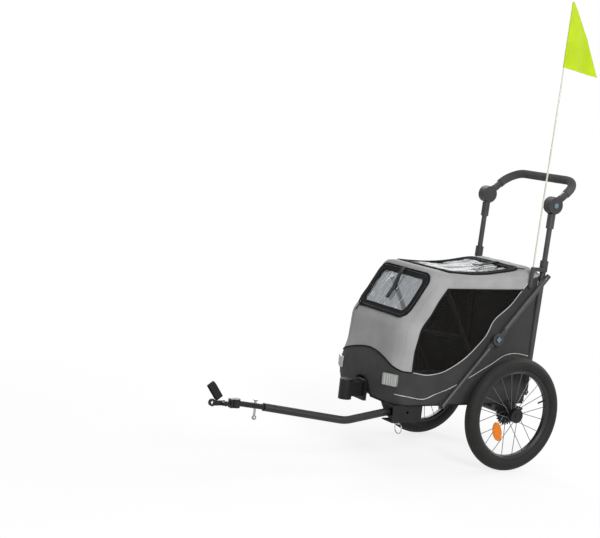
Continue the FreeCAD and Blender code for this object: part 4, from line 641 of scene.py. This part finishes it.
def halfLoop(loop):
    # left half of a window loop, closed along the middle
    middle = sum(q.y for q in loop) / len(loop)
    kept = [p for p in loop if p.x > 0.5]
    kept.sort(key=lambda p: math.atan2(p.x, -(p.y - middle)))
    return [Vector((0, kept[0].y))] + kept + [Vector((0, kept[-1].y))]


def roofPoint(x, y, lift=0):
    pucker = noise.noise(Vector((x, y * 0.7, 5.0)) / cover["roofPucker"]) * cover["wrinkle"]
    return Vector((x, y, roofHeight(x, y) + pucker + lift))


# rounding between the wall and the roof
rollCut = dict(width=15, crest=0.9, runs=5)
rim, rolls = [], []
for p in topLine:
    start = wallPoint(p.x, p.y)
    out = wallNormal(p.x, p.y)
    out.z = 0
    out.normalize()
    foot = wallFlat(p.x, p.y)
    inward = foot - out * rollCut["width"]
    end = roofPoint(max(inward.x, 0), min(inward.y, cover["rear"]))
    upward = wallFlat(p.x, p.y + 1) - wallFlat(p.x, p.y - 1)
    crest = start + upward.normalized() * cover["edgeDrop"] * rollCut["crest"]
    shares = [k / rollCut["runs"] for k in range(rollCut["runs"] + 1)]
    rolls.append([start.lerp(crest, t).lerp(crest.lerp(end, t), t) for t in shares])
    rim.append(Vector((end.x, end.y)))
rollGrid = sheetGrid(lambda k, i: rolls[i][k], rollCut["runs"], len(rolls) - 1)
frontHole, roofHole = halfLoop(frontLoop(0)), halfLoop(roofLoop(0))

# grey cover: its outline runs up the middle below the window, round the half window and on to the top
greyOutline = (humpLine + meshFrontLine[1:] + meshTopLine[1:] + upperLine[meetsTop + 1:]
               + backwards(topLine[:seamTop]) + straight([topLine[0], frontHole[-1]])[1:-1]
               + backwards(frontHole) + straight([frontHole[0], humpLine[0]])[1:-1])
roofOutline = (rim + straight([rim[-1], (0, cover["rear"])])[1:]
               + straight([(0, cover["rear"]), roofHole[-1]])[1:-1] + backwards(roofHole)
               + straight([roofHole[0], rim[0]])[1:-1])
canopy = stitch("canopyCover", [clothPatch(greyOutline, [], wallPoint, cover["gridStep"]), rollGrid,
                                clothPatch(roofOutline, [], roofPoint, cover["gridStep"])])
settle(sewn(canopy, cover["thickness"]), "base", canopyCloth, 60)
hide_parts("roof_panel")
folding(canopy)

# net in each side, a little behind the cover
netCut = dict(sunk=2.5, grid=14, thickness=0.8)
meshOutline = upperLine[:meetsTop + 1] + backwards(meshTopLine[:-1]) + backwards(meshFrontLine[1:-1])
netPiece = stitch("meshWindows", [clothPatch(meshOutline, [], lambda s, z: wallPoint(s, z, -netCut["sunk"]),
                                             netCut["grid"])])
settle(sewn(netPiece, netCut["thickness"]), "base", net, 60)
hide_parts("mesh_window_left", "mesh_window_right")
folding(netPiece)

# charcoal skirt with the arch over the wheel receiver
skirtCut = dict(sunk=0.6, thickness=1.8)
archTop, archFoot = pattern["arch"][0], pattern["arch"][-1]
hemLine = straight([archFoot, (wallEnd(cover["hem"]), cover["hem"])])
rearHeights = [cover["hem"] + k * (rearTop - cover["hem"]) / pattern["rearRuns"]
               for k in range(pattern["rearRuns"] + 1)]
rearEdge = straight([(wallEnd(z), z) for z in rearHeights])
skirtOutline = (archLine[:-1] + hemLine[:-1] + rearEdge[:-1] + backwards(topLine[seamTop:])
                + backwards(upperLine[:-1]) + backwards(humpLine[:-1])
                + straight([humpLine[0], archTop])[1:-1])
skirt = stitch("skirt", [clothPatch(skirtOutline, [], lambda s, z: wallPoint(s, z, -skirtCut["sunk"]),
                                    cover["gridStep"])])
settle(sewn(skirt, skirtCut["thickness"]), "base", darkCloth, 60)
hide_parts("side_panel_left", "side_panel_right", "front_panel")
folding(skirt)

# rear wall, slack between its corners
back = dict(columns=40, rows=44, hollow=7, topGap=2, thickness=1.6, pucker=55, puckerGain=1.6)


def backTop(x):
    return roofHeight(x, cover["rear"]) - back["topGap"]


def backPoint(i, j):
    x = cover["halfWidth"] * (2 * i / back["columns"] - 1)
    t = j / back["rows"]
    z = cover["hem"] + t * (backTop(x) - cover["hem"])
    pull = math.sin(math.pi * i / back["columns"]) * math.sin(math.pi * t)
    pucker = noise.noise(Vector((x, z * 0.6, 15.0)) / back["pucker"]) * cover["wrinkle"] * back["puckerGain"]
    return Vector((x, cover["rear"] - back["hollow"] * pull + pucker * pull, z))


rearWall = stitch("rearWall", [sheetGrid(backPoint, back["columns"], back["rows"])])
modify(rearWall, "SOLIDIFY", thickness=back["thickness"] / 1000, offset=-1)
settle(rearWall, "base", darkCloth, 60)
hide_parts("rear_panel")
folding(rearWall)
print("cabin cover sewn")

# trim: pale piping on the side seams, black binding on the hump, net, arch and hem
trim = dict(piping=1.3, binding=2.2, netBinding=3.0, lift=1.0)


def alongWall(line, lift):
    return [wallPoint(*p, lift) for p in line]


for name, line, radius, finishOf in (
        ("upperPiping", upperLine, trim["piping"], pipingCloth),
        ("lowerPiping", spline([sideAt(*p) for p in pattern["lower"]]), trim["piping"], pipingCloth),
        ("humpBinding", humpLine, trim["binding"], bandCloth),
        ("meshBinding", meshFrontLine + meshTopLine[1:], trim["netBinding"], bandCloth),
        ("archBinding", archLine, trim["binding"], bandCloth),
        ("hemBinding", hemLine, trim["binding"], bandCloth)):
    cord = tube(name, alongWall(line, trim["lift"]), radius)
    folding(settle(bothSides(cord), "base", finishOf, 60))

# flat seam between the front and the side of the skirt
frontSeam = dict(top=(184, 339), foot=(170, 259), radius=1.0, lift=0.2)
seamLine = straight([frontSeam["top"], frontSeam["foot"]])
seamCord = tube("frontSeam", alongWall(seamLine, frontSeam["lift"]), frontSeam["radius"])
folding(settle(bothSides(seamCord), "base", darkCloth, 60))

# zip round the rear door
rearDoor = dict(half=140, low=262, high=650, radius=60)


def onBack(x, z, lift):
    i = (x / cover["halfWidth"] + 1) * back["columns"] / 2
    j = (z - cover["hem"]) / (backTop(x) - cover["hem"]) * back["rows"]
    return backPoint(i, j) + Vector((0, lift, 0))


doorLoop = rounded(-rearDoor["half"], rearDoor["half"], rearDoor["low"], rearDoor["high"], rearDoor["radius"])
for name, lift, radius, finishOf in (("doorTape", 0.3, 4.0, bandCloth), ("doorZip", 3.0, 1.6, blackPlastic)):
    cord = tube(name, [onBack(p.x, p.y, lift) for p in doorLoop], radius, closed=True)
    folding(settle(cord, "base", finishOf, 60))

# grey seam down the front corner of the cover
cornerSeam = dict(low=346, high=660, run=6, radius=0.9, lift=0.1)
seamAt = frontFlat + cover["corner"] * math.pi / 4
seamLine = [(seamAt, z) for z in range(cornerSeam["low"], cornerSeam["high"], cornerSeam["run"])]
seamCord = tube("cornerSeam", alongWall(seamLine, cornerSeam["lift"]), cornerSeam["radius"])
folding(settle(bothSides(seamCord), "base", canopyCloth, 60))
print("trim laid")

# windows: black band, crinkled clear film, binding, stitch line and zip, each set on its own flap
windowCut = dict(gap=0.8, bandLift=2.2, bandThick=2.0, bandGrid=9, tuck=5, filmGrid=5, filmThick=0.4,
                 stitchIn=3, zipIn=9)
crinkleCut = dict(billow=3, billowSize=70, fold=4.0, foldSize=32, foldCrest=0.3, sunk=1.5)


def crinkle(a, b):
    # creases of film that has been rolled up: long sharp folds on a slow billow
    cut = crinkleCut
    slow = noise.noise(Vector((a, b, 0)) / cut["billowSize"]) * cut["billow"]
    fold = abs(noise.noise(Vector((a * 0.7 + b * 0.5, b * 0.25 - a * 0.2, 4.0)) / cut["foldSize"]))
    return slow + cut["fold"] * (cut["foldCrest"] - fold) - cut["sunk"]


def windowSet(name, loopAt, lay, flap, bandWidth, clear):
    # flap is the name of the CAD node and of the body it turns with
    cut = windowCut
    band = stitch(name + "Band", [clothPatch(loopAt(cut["gap"]), [loopAt(bandWidth)],
                                             lambda a, b: lay(a, b, cut["bandLift"]), cut["bandGrid"])])
    settle(sewn(band, cut["bandThick"], mirror=False), flap, bandCloth, 60)
    film = stitch(name + "Film", [clothPatch(loopAt(bandWidth - cut["tuck"]), [],
                                             lambda a, b: lay(a, b, crinkle(a, b)), cut["filmGrid"])])
    settle(sewn(film, cut["filmThick"], mirror=False), flap, clear, 80)
    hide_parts(flap)
    for piece, inset, radius, lift, finishOf in (("Binding", 1.5, 1.8, 2.6, bandCloth),
                                                 ("Stitch", bandWidth - cut["stitchIn"], 0.9, 2.6, bandCloth),
                                                 ("Zip", cut["zipIn"], 1.5, 2.8, blackPlastic)):
        cord = tube(name + piece, [lay(p.x, p.y, lift) for p in loopAt(inset)], radius, closed=True)
        folding(settle(cord, flap, finishOf, 60))
    folding(band)
    folding(film)


def frontPlace(x, z, lift=0):
    # the unrolled wall on both sides of the middle
    p = wallPoint(abs(x), z, lift)
    return Vector((x if abs(x) <= frontFlat else math.copysign(p.x, x), p.y, p.z))


windowSet("frontWindow", frontLoop, frontPlace, "front_flap", frontWindow["band"], frontFilm)
windowSet("roofWindow", roofLoop, roofPoint, "roof_flap", roofWindow["band"], roofFilm)
print("windows made")

# roll-up straps that hang from the top edge of each window
tapeCut = dict(width=20, thickness=1.6, run=9, wave=2)
frontTape = dict(x=-14, drift=1.2, tuck=4, lift=5.4, runs=14, waves=0.6)
roofTape = dict(x=20, tuck=2, lift=5, runs=12, waves=0.7, sway=0.5)


def hangingTape(name, path, body):
    half = Vector((tapeCut["width"] / 2, 0, 0))
    tape = stitch(name, [sheetGrid(lambda i, j: path[j] + (half if i else -half), 1, len(path) - 1)])
    modify(tape, "SOLIDIFY", thickness=tapeCut["thickness"] / 1000, offset=0)
    modify(tape, "BEVEL", width=tapeCut["thickness"] / 3000, segments=2)
    return folding(settle(tape, body, webbing, 50))


frontStrap = [frontPlace(frontTape["x"] + k * frontTape["drift"],
                         slopeHeight(frontWindow["high"] - frontTape["tuck"] - k * tapeCut["run"]),
                         frontTape["lift"] + tapeCut["wave"] * math.sin(k * frontTape["waves"]))
              for k in range(frontTape["runs"] + 1)]
roofStrap = [roofPoint(roofTape["x"] + tapeCut["wave"] * math.sin(k * roofTape["sway"]),
                       roofWindow["high"] - roofTape["tuck"] - k * tapeCut["run"],
                       roofTape["lift"] + tapeCut["wave"] * math.sin(k * roofTape["waves"]))
             for k in range(roofTape["runs"] + 1)]
hangingTape("frontStrap", frontStrap, "front_flap")
hangingTape("roofStrap", roofStrap, "roof_flap")

# zip pulls: a slider with a tab drawn out of it in three steps of length and width
pullCut = dict(slider=(7, 10, 4), tab=((4, 0.6), (18, 1.3), (4, 0.7)), flatten=0.85, edge=0.8, lift=5.5,
               frontX=-120, frontTurn=57, roofX=138, roofIn=14, roofTurn=148.97)


def zipPull(name, spot, turn, body):
    deselect()
    bpy.ops.mesh.primitive_cube_add(size=1, location=(0, 0, 0))
    pull = bpy.context.object
    pull.name = name
    pull.scale = [length / 1000 for length in pullCut["slider"]]
    bpy.ops.object.transform_apply(location=False, rotation=False, scale=True)
    facesWhere(pull, lambda f: f.normal.y < -0.9)
    for reach, size in pullCut["tab"]:
        bpy.ops.mesh.extrude_region_move(TRANSFORM_OT_translate={"value": (0, -reach / 1000, 0)})
        bpy.ops.transform.resize(value=(size, 1, pullCut["flatten"]))
    bpy.ops.object.mode_set(mode="OBJECT")
    modify(pull, "BEVEL", width=pullCut["edge"] / 1000, segments=2)
    pull.data.transform(Matrix.Translation(at(*spot)) @ turn)
    return folding(settle(pull, body, blackPlastic))


zipPull("frontZipPull",
        frontPlace(pullCut["frontX"], slopeHeight(frontWindow["low"] + windowCut["zipIn"]), pullCut["lift"]),
        Matrix.Rotation(math.radians(pullCut["frontTurn"]), 4, "X"), "front_flap")
zipPull("roofZipPull", roofPoint(pullCut["roofX"], roofWindow["high"] - pullCut["roofIn"], pullCut["lift"]),
        Matrix.Rotation(math.radians(pullCut["roofTurn"]), 4, "Z"), "roof_flap")
print("window straps and zip pulls made")

# flag: nylon pennant with a sleeve on the pole and soft folds that deepen towards the fly
flagCut = dict(hoist=224, fly=152, drop=14, kneeOut=0.55, kneeUp=0.52, tip=2, thickness=0.6,
               ripple=6, rippleWaves=7.2, rippleRise=90, slump=2.4, slumpRise=60, flutter=1.5, flutterRise=40,
               sleeve=4.4, sleeveRuns=24, foot=1141, ahead=66, poleX=203, columns=34, rows=40, sewnIn=4)
poleCapCut = dict(foot=1358, top=1364, radius=3.6, edge=1)
rearLeg = dict(hingeY=112, hingeZ=262, lean=1.8)


def onLeg(x, back, up):
    # place given along the leaning rear leg, from its hinge
    lean = math.radians(rearLeg["lean"])
    return Vector((x, rearLeg["hingeY"] + back * math.cos(lean) + up * math.sin(lean),
                   rearLeg["hingeZ"] - back * math.sin(lean) + up * math.cos(lean)))


def onPole(up):
    return onLeg(flagCut["poleX"], -flagCut["ahead"], up)


def pennantEdge(t):
    # lower and upper edge at a share t of the fly, the upper one bent at its knee
    knee = flagCut["hoist"] * flagCut["kneeUp"]
    low = -flagCut["drop"] * t
    if t < flagCut["kneeOut"]:
        high = flagCut["hoist"] + (knee - flagCut["hoist"]) * t / flagCut["kneeOut"]
    else:
        high = knee + (t - flagCut["kneeOut"]) / (1 - flagCut["kneeOut"]) * (-flagCut["drop"] - knee)
    return low, max(high, low + flagCut["tip"])


def flagPoint(i, j):
    t = i / flagCut["columns"]
    low, high = pennantEdge(t)
    h = low + (high - low) * j / flagCut["rows"]
    swing = flagCut["ripple"] * math.sin(t * flagCut["rippleWaves"] + h / flagCut["rippleRise"])
    slump = flagCut["slump"] * t * (1 - t) * math.sin(h / flagCut["slumpRise"])
    flutter = flagCut["flutter"] * noise.noise(Vector((t * 3, h / flagCut["flutterRise"], 2.0)))
    out = flagCut["sewnIn"] - flagCut["ahead"] + t * (flagCut["fly"] - flagCut["sewnIn"] / 2)
    return onLeg(flagCut["poleX"] + swing * t ** 0.7 + flutter, out, flagCut["foot"] + h - slump)


flagPiece = stitch("flagCloth", [sheetGrid(flagPoint, flagCut["columns"], flagCut["rows"])])
modify(flagPiece, "SOLIDIFY", thickness=flagCut["thickness"] / 1000, offset=0)
settle(flagPiece, "flag", flagCloth, 70)
sleeveLine = [onPole(flagCut["foot"] + k * flagCut["hoist"] / flagCut["sleeveRuns"])
              for k in range(flagCut["sleeveRuns"] + 1)]
flagSleeve = tube("flagSleeve", sleeveLine, flagCut["sleeve"], roundness=4)
settle(flagSleeve, "flag", flagCloth, 60)
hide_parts("flag")
poleCap = tube("poleCap", [onPole(poleCapCut["foot"]), onPole(poleCapCut["top"])], poleCapCut["radius"],
               roundness=4)
modify(poleCap, "BEVEL", width=poleCapCut["edge"] / 1000, segments=3)
settle(poleCap, "flag", blackPlastic)
print("flag made")

# foam grip: a soft tube round the bent bar, worn into slight lumps
gripCut = dict(half=182, start=66, reach=140.09, bend=68, radius=15.3, along=(0.778, 0.628), y=132.95,
               z=928.67, armRun=3, bendRuns=12, crossRuns=16, lump=0.4, lumpSize=25, edge=3)


def armPoint(d):
    # left arm of the bar at a distance from its joint
    forward, upward = gripCut["along"]
    return Vector((gripCut["half"], gripCut["y"] + forward * d, gripCut["z"] + upward * d))


def gripLine():
    bend, ahead = gripCut["bend"], Vector((0, *gripCut["along"]))
    armLong = gripCut["reach"] - bend
    line = [armPoint(gripCut["start"] + k)
            for k in range(0, int(armLong - gripCut["start"]) + 1, gripCut["armRun"])]
    centre = armPoint(armLong) - Vector((bend, 0, 0))
    for k in range(1, gripCut["bendRuns"] + 1):
        t = math.radians(90 * k / gripCut["bendRuns"])
        line.append(centre + bend * (Vector((math.cos(t), 0, 0)) + ahead * math.sin(t)))
    span = gripCut["half"] - bend
    runs = gripCut["crossRuns"]
    line += [Vector((span - k * span / runs, line[-1].y, line[-1].z)) for k in range(1, runs + 1)]
    return line + [Vector((-p.x, p.y, p.z)) for p in reversed(line[:-1])]


gripFoam = tube("gripFoam", gripLine(), gripCut["radius"], roundness=8)
modify(gripFoam, "BEVEL", width=gripCut["edge"] / 1000, segments=3, limit_method="ANGLE",
       angle_limit=math.radians(50))
for vertex in gripFoam.data.vertices:
    lump = noise.noise(vertex.co * perMetre(gripCut["lumpSize"])) * gripCut["lump"] / 1000
    vertex.co += vertex.normal * lump
settle(gripFoam, "handle", foam, 50)
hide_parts("foam_grip")

# end sleeve between each joint and the foam; the silver strip along its upper face is reflective tape with a
# painted highlight
sleeveCut = dict(start=31, end=69, radius=13.4)
tapeAndHighlightCut = dict(start=37, end=63, radius=13.7, spread=21, rows=8, columns=6, thickness=0.9)
barSleeve = tube("barSleeve", [armPoint(sleeveCut["start"]), armPoint(sleeveCut["end"])],
                 sleeveCut["radius"], roundness=8)
settle(bothSides(barSleeve), "handle", greyPlastic, 50)


def tapeAndHighlightPoint(i, j):
    d = tapeAndHighlightCut["start"] + (tapeAndHighlightCut["end"] - tapeAndHighlightCut["start"]) * j / tapeAndHighlightCut["rows"]
    t = math.radians(tapeAndHighlightCut["spread"] * (2 * i / tapeAndHighlightCut["columns"] - 1))
    upwards = Vector((0, -gripCut["along"][1], gripCut["along"][0]))
    return armPoint(d) + tapeAndHighlightCut["radius"] * (upwards * math.cos(t) + Vector((math.sin(t), 0, 0)))


barTapeAndHighlight = stitch("barTapeAndHighlight", [sheetGrid(tapeAndHighlightPoint, tapeAndHighlightCut["columns"], tapeAndHighlightCut["rows"])])
modify(barTapeAndHighlight, "SOLIDIFY", thickness=tapeAndHighlightCut["thickness"] / 1000, offset=0)
settle(bothSides(barTapeAndHighlight), "handle", silverTapeAndHighlight, 40)

# floor pad: quilted mat, crowned between its sewn channels, its edges drawn in a little
matCut = dict(half=148, front=-416.5, rear=62, low=248, high=276, channels=5, columns=44, rows=64,
              drawSide=0.02, drawEnd=0.015, taper=0.03, taperFrom=0.75, seam=0.72, edgeUp=0.8,
              crownUp=1.15, crownDown=-0.8, clear=0.3)


def matPoint(i, j, crownShare):
    u = 2 * i / matCut["columns"] - 1
    w = 2 * j / matCut["rows"] - 1
    middle = (matCut["front"] + matCut["rear"]) / 2
    length = (matCut["rear"] - matCut["front"]) / 2
    pinch = 1 - matCut["drawSide"] * (1 - u * u) - matCut["drawEnd"] * (1 - w * w)
    narrow = 1 - matCut["taper"] * share(abs(w), matCut["taperFrom"], 1 - matCut["taperFrom"])
    crown = (1 - u ** 8) ** 0.5 * (1 - w ** 10) ** 0.5
    wave = abs(math.sin(math.pi * matCut["channels"] * (w + 1) / 2)) ** 0.5
    quilt = matCut["seam"] + (1 - matCut["seam"]) * wave
    height = (matCut["high"] - matCut["low"]) * 0.5
    z = matCut["low"] + height * (matCut["edgeUp"] + crown * quilt * crownShare)
    return Vector((matCut["half"] * u * narrow * pinch, middle + length * w * pinch,
                   max(z, matCut["low"] + matCut["clear"])))


def matSide(crownShare):
    return sheetGrid(lambda i, j: matPoint(i, j, crownShare), matCut["columns"], matCut["rows"])


underPoints, underFaces = matSide(matCut["crownDown"])
underFaces = [backwards(face) for face in underFaces]
mat = stitch("floorMat", [matSide(matCut["crownUp"]), (underPoints, underFaces)])
closeSeams(mat, 0.0003)
modify(mat, "SUBSURF", levels=1, render_levels=1)
settle(mat, "base", padCloth, 70)
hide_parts("floor_pad")
print("grip and floor mat made")

# safety strap: webbing loop standing on the coupler, laid inside the CAD loop's wall
loopCut = dict(long=30.4, wide=10.8, corner=8.8, inset=1, webbing=1.8, width=24, edge=0.2, run=4,
               rounding=0.4, up=(0, -0.592, 0.806), across=(0, 0.806, 0.592))
strapLow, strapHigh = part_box("safety_strap")
strapMiddle = (strapLow + strapHigh) * 500 - Vector((0, axleY, 0))  # half the sum, in mm
strapSide = Vector(loopCut["across"]) * (loopCut["width"] / 2 - loopCut["edge"])
loopWide, loopLong = loopCut["wide"] - loopCut["inset"], loopCut["long"] - loopCut["inset"]
loopShape = rounded(-loopWide, loopWide, -loopLong, loopLong, loopCut["corner"] - loopCut["inset"],
                    loopCut["run"])


def loopPoint(i, j):
    p = loopShape[j % len(loopShape)]
    middle = strapMiddle + Vector((p.x, 0, 0)) + Vector(loopCut["up"]) * p.y
    return middle + (strapSide if i else -strapSide)


strapLoop = stitch("strapLoop", [sheetGrid(loopPoint, 1, len(loopShape))])
closeSeams(strapLoop, 0.0001)
modify(strapLoop, "SOLIDIFY", thickness=loopCut["webbing"] / 1000, offset=0)
modify(strapLoop, "BEVEL", width=loopCut["rounding"] / 1000, segments=2)
settle(strapLoop, "coupler", webbing, 50)
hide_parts("safety_strap")
print("safety strap made")


# small hardware, each modelled once and copied
def copyTo(obj, name, spot, turn, body, material):
    piece = obj.copy()
    piece.data = obj.data.copy()
    piece.name = name
    bpy.context.scene.collection.objects.link(piece)
    piece.data.transform(Matrix.Translation(at(*spot)) @ turn)
    return settle(piece, body, material, 35)


def discard(obj):
    deselect()
    bpy.data.objects.remove(obj)


# bolt: domed head with a sunk round socket, standing along +X; the shares are of its radius or height
boltCut = dict(radius=6, height=3, rim=0.22, dome=0.25, socket=0.3, sunk=0.7, edge=0.06)
boltSpots = dict(strutTop=(208.5, 124.75, 667.8), hinge=(196, rearLeg["hingeY"], rearLeg["hingeZ"]))
faceLeft = Matrix.Identity(4)
faceRight = Matrix.Rotation(math.radians(180), 4, "Z")
sides = ((1, faceLeft, "Left"), (-1, faceRight, "Right"))


def boltHead():
    radius, height = boltCut["radius"] / 1000, boltCut["height"] / 1000
    deselect()
    bpy.ops.mesh.primitive_cylinder_add(vertices=24, radius=radius, depth=height, location=(0, 0, 0))
    head = bpy.context.object
    facesWhere(head, lambda f: f.normal.z > 0.9)
    bpy.ops.mesh.inset(thickness=radius * boltCut["rim"])
    bpy.ops.transform.translate(value=(0, 0, height * boltCut["dome"]))
    bpy.ops.mesh.inset(thickness=radius * boltCut["socket"])
    bpy.ops.mesh.extrude_region_move(TRANSFORM_OT_translate={"value": (0, 0, -height * boltCut["sunk"])})
    bpy.ops.object.mode_set(mode="OBJECT")
    modify(head, "BEVEL", width=radius * boltCut["edge"], segments=2)
    head.data.transform(Matrix.Rotation(math.radians(90), 4, "Y"))
    return head


bolt = boltHead()
for side, turn, tag in sides:
    for name, body in (("strutTop", "rear_frame"), ("hinge", "base")):
        x, y, z = boltSpots[name]
        copyTo(bolt, name + "Bolt" + tag, (side * x, y, z), turn, body, steel)
discard(bolt)

# blue tile on each strut button, a square set on its corner with a sunk field
tileCut = dict(size=16, thin=0.1, rim=1.2, raised=0.6, sunk=0.5, edge=0.6, place=(214, -60.98, 453.97))
deselect()
bpy.ops.mesh.primitive_cube_add(size=tileCut["size"] / 1000, location=(0, 0, 0))
tile = bpy.context.object
tile.data.transform(Matrix.Diagonal((tileCut["thin"], 1, 1, 1)))
facesWhere(tile, lambda f: f.normal.x > 0.9)
bpy.ops.mesh.inset(thickness=tileCut["rim"] / 1000)
bpy.ops.transform.translate(value=(tileCut["raised"] / 1000, 0, 0))
bpy.ops.mesh.inset(thickness=tileCut["rim"] / 1000)
bpy.ops.mesh.extrude_region_move(TRANSFORM_OT_translate={"value": (-tileCut["sunk"] / 1000, 0, 0)})
bpy.ops.object.mode_set(mode="OBJECT")
modify(tile, "BEVEL", width=tileCut["edge"] / 1000, segments=2)
tile.data.transform(Matrix.Rotation(math.radians(45), 4, "X"))
for side, turn, tag in sides:
    x, y, z = tileCut["place"]
    copyTo(tile, "strutTile_" + tag.lower(), (side * x, y, z), turn, "strut_button_" + tag.lower(),
           buttonPlastic)
discard(tile)

# upright ribs on the clear reflectors, which turn round the nose corner
ribCut = dict(count=5, span=40, place=(154.7, -463.3, 305), turn=28, size=(7.6, 1.6, 34), rim=1.4,
              raised=0.8, edge=0.5)
deselect()
bpy.ops.mesh.primitive_cube_add(size=1, location=(0, 0, 0))
rib = bpy.context.object
rib.data.transform(Matrix.Diagonal((*[length / 1000 for length in ribCut["size"]], 1)))
facesWhere(rib, lambda f: f.normal.y < -0.9)
bpy.ops.mesh.inset(thickness=ribCut["rim"] / 1000)
bpy.ops.transform.translate(value=(0, -ribCut["raised"] / 1000, 0))
bpy.ops.object.mode_set(mode="OBJECT")
modify(rib, "BEVEL", width=ribCut["edge"] / 1000, segments=2)
ribTurn = math.radians(ribCut["turn"])
for side, _, tag in sides:
    for k in range(ribCut["count"]):
        d = ribCut["span"] * (k / (ribCut["count"] - 1) - 0.5)
        x, y, z = ribCut["place"]
        copyTo(rib, f"reflectorRib_{tag.lower()}_{k}",
               (side * (x + d * math.cos(ribTurn)), y + d * math.sin(ribTurn), z),
               Matrix.Rotation(side * ribTurn, 4, "Z"), "base", whitePrism)
discard(rib)
print("hardware placed")

# camera at the photograph's place, in metres
cameraSet = dict(place=(3.824, -2.71987, 1.1872), lens=82.54, sensor=36,
                 right=(0.5150, 0.8504, 0.1074), up=(-0.1577, -0.0292, 0.9870),
                 back=(0.84255, -0.52531, 0.11905))
lensData = bpy.data.cameras.new("photoCamera")
lensData.lens = cameraSet["lens"]
lensData.sensor_width = cameraSet["sensor"]
camera = bpy.data.objects.new("photoCamera", lensData)
bpy.context.scene.collection.objects.link(camera)
axes = Matrix((cameraSet["right"], cameraSet["up"], cameraSet["back"])).transposed()
camera.matrix_world = Matrix.Translation(cameraSet["place"]) @ axes.to_4x4()
bpy.context.scene.camera = camera


def seenDirectly(tree):
    # 1 for rays that show a thing to the eye: straight, in a gloss or through film
    ray = add(tree, "LightPath")
    glossy = add(tree, "Math", {0: ray.outputs["Is Camera Ray"], 1: ray.outputs["Is Glossy Ray"]},
                 operation="MAXIMUM")
    through = add(tree, "Math", {0: glossy.outputs[0], 1: ray.outputs["Is Transmission Ray"]},
                  operation="MAXIMUM")
    return through.outputs[0]


# pale floor that keeps a soft shadow near the part and goes over to plain white further out, in metres
floorSet = dict(size=60, shadowTo=0.7, whiteFrom=2.2, whiteLeast=0.78)
deselect()
bpy.ops.mesh.primitive_plane_add(size=floorSet["size"], location=(0, 0, 0))
floor = bpy.context.object
floor.name = "studioFloor"
floorPaint, floorTree, floorShader = finish("pale studio floor", Roughness=0.9)
floorShader.inputs["Base Color"].default_value = linear("#f4f4f4")
spot = add(floorTree, "TexCoord").outputs["Object"]
away = add(floorTree, "VectorMath", {0: spot}, operation="LENGTH").outputs["Value"]
fade = add(floorTree, "MapRange", {"Value": away, "From Min": floorSet["shadowTo"],
                                   "From Max": floorSet["whiteFrom"], "To Min": floorSet["whiteLeast"],
                                   "To Max": 1.0}, interpolation_type="SMOOTHSTEP").outputs["Result"]
white = add(floorTree, "Math", {0: fade, 1: seenDirectly(floorTree)}, operation="MULTIPLY").outputs[0]
glow = add(floorTree, "Emission", {"Color": linear("#ffffff"), "Strength": 1.0}).outputs[0]
floorMix = add(floorTree, "MixShader", {0: white, 1: floorShader.outputs[0], 2: glow})
floorTree.links.new(floorMix.outputs[0], floorTree.nodes["Material Output"].inputs["Surface"])
floor.data.materials.append(floorPaint)

# soft round lights: place and size in metres, power in watts
lightAim = Vector((0, 0, 0.6))
lights = (("keyLight", (4.2, -1.0, 2.6), 2.0, 190), ("farLight", (-4.2, 1.4, 2.4), 2.6, 105),
          ("rearLight", (-0.4, 4.4, 2.4), 2.6, 80), ("topLight", (0, 0, 4.4), 3.2, 44))
for name, spot, size, power in lights:
    lampData = bpy.data.lights.new(name, "AREA")
    lampData.shape = "DISK"
    lampData.size = size
    lampData.energy = power
    lamp = bpy.data.objects.new(name, lampData)
    bpy.context.scene.collection.objects.link(lamp)
    lamp.location = spot
    lamp.rotation_euler = (lightAim - Vector(spot)).to_track_quat("-Z", "Y").to_euler()

# white behind the part, dimmer as a light on it
world = bpy.data.worlds.new("studio")
bpy.context.scene.world = world
world.use_nodes = True
skyTree = world.node_tree
sky = skyTree.nodes["Background"]
sky.inputs["Color"].default_value = linear("#ffffff")
strength = add(skyTree, "MapRange", {"Value": seenDirectly(skyTree), "To Min": 0.2, "To Max": 1.0})
skyTree.links.new(strength.outputs["Result"], sky.inputs["Strength"])
bpy.context.scene.view_settings.view_transform = "Standard"
print("camera, floor and light set")
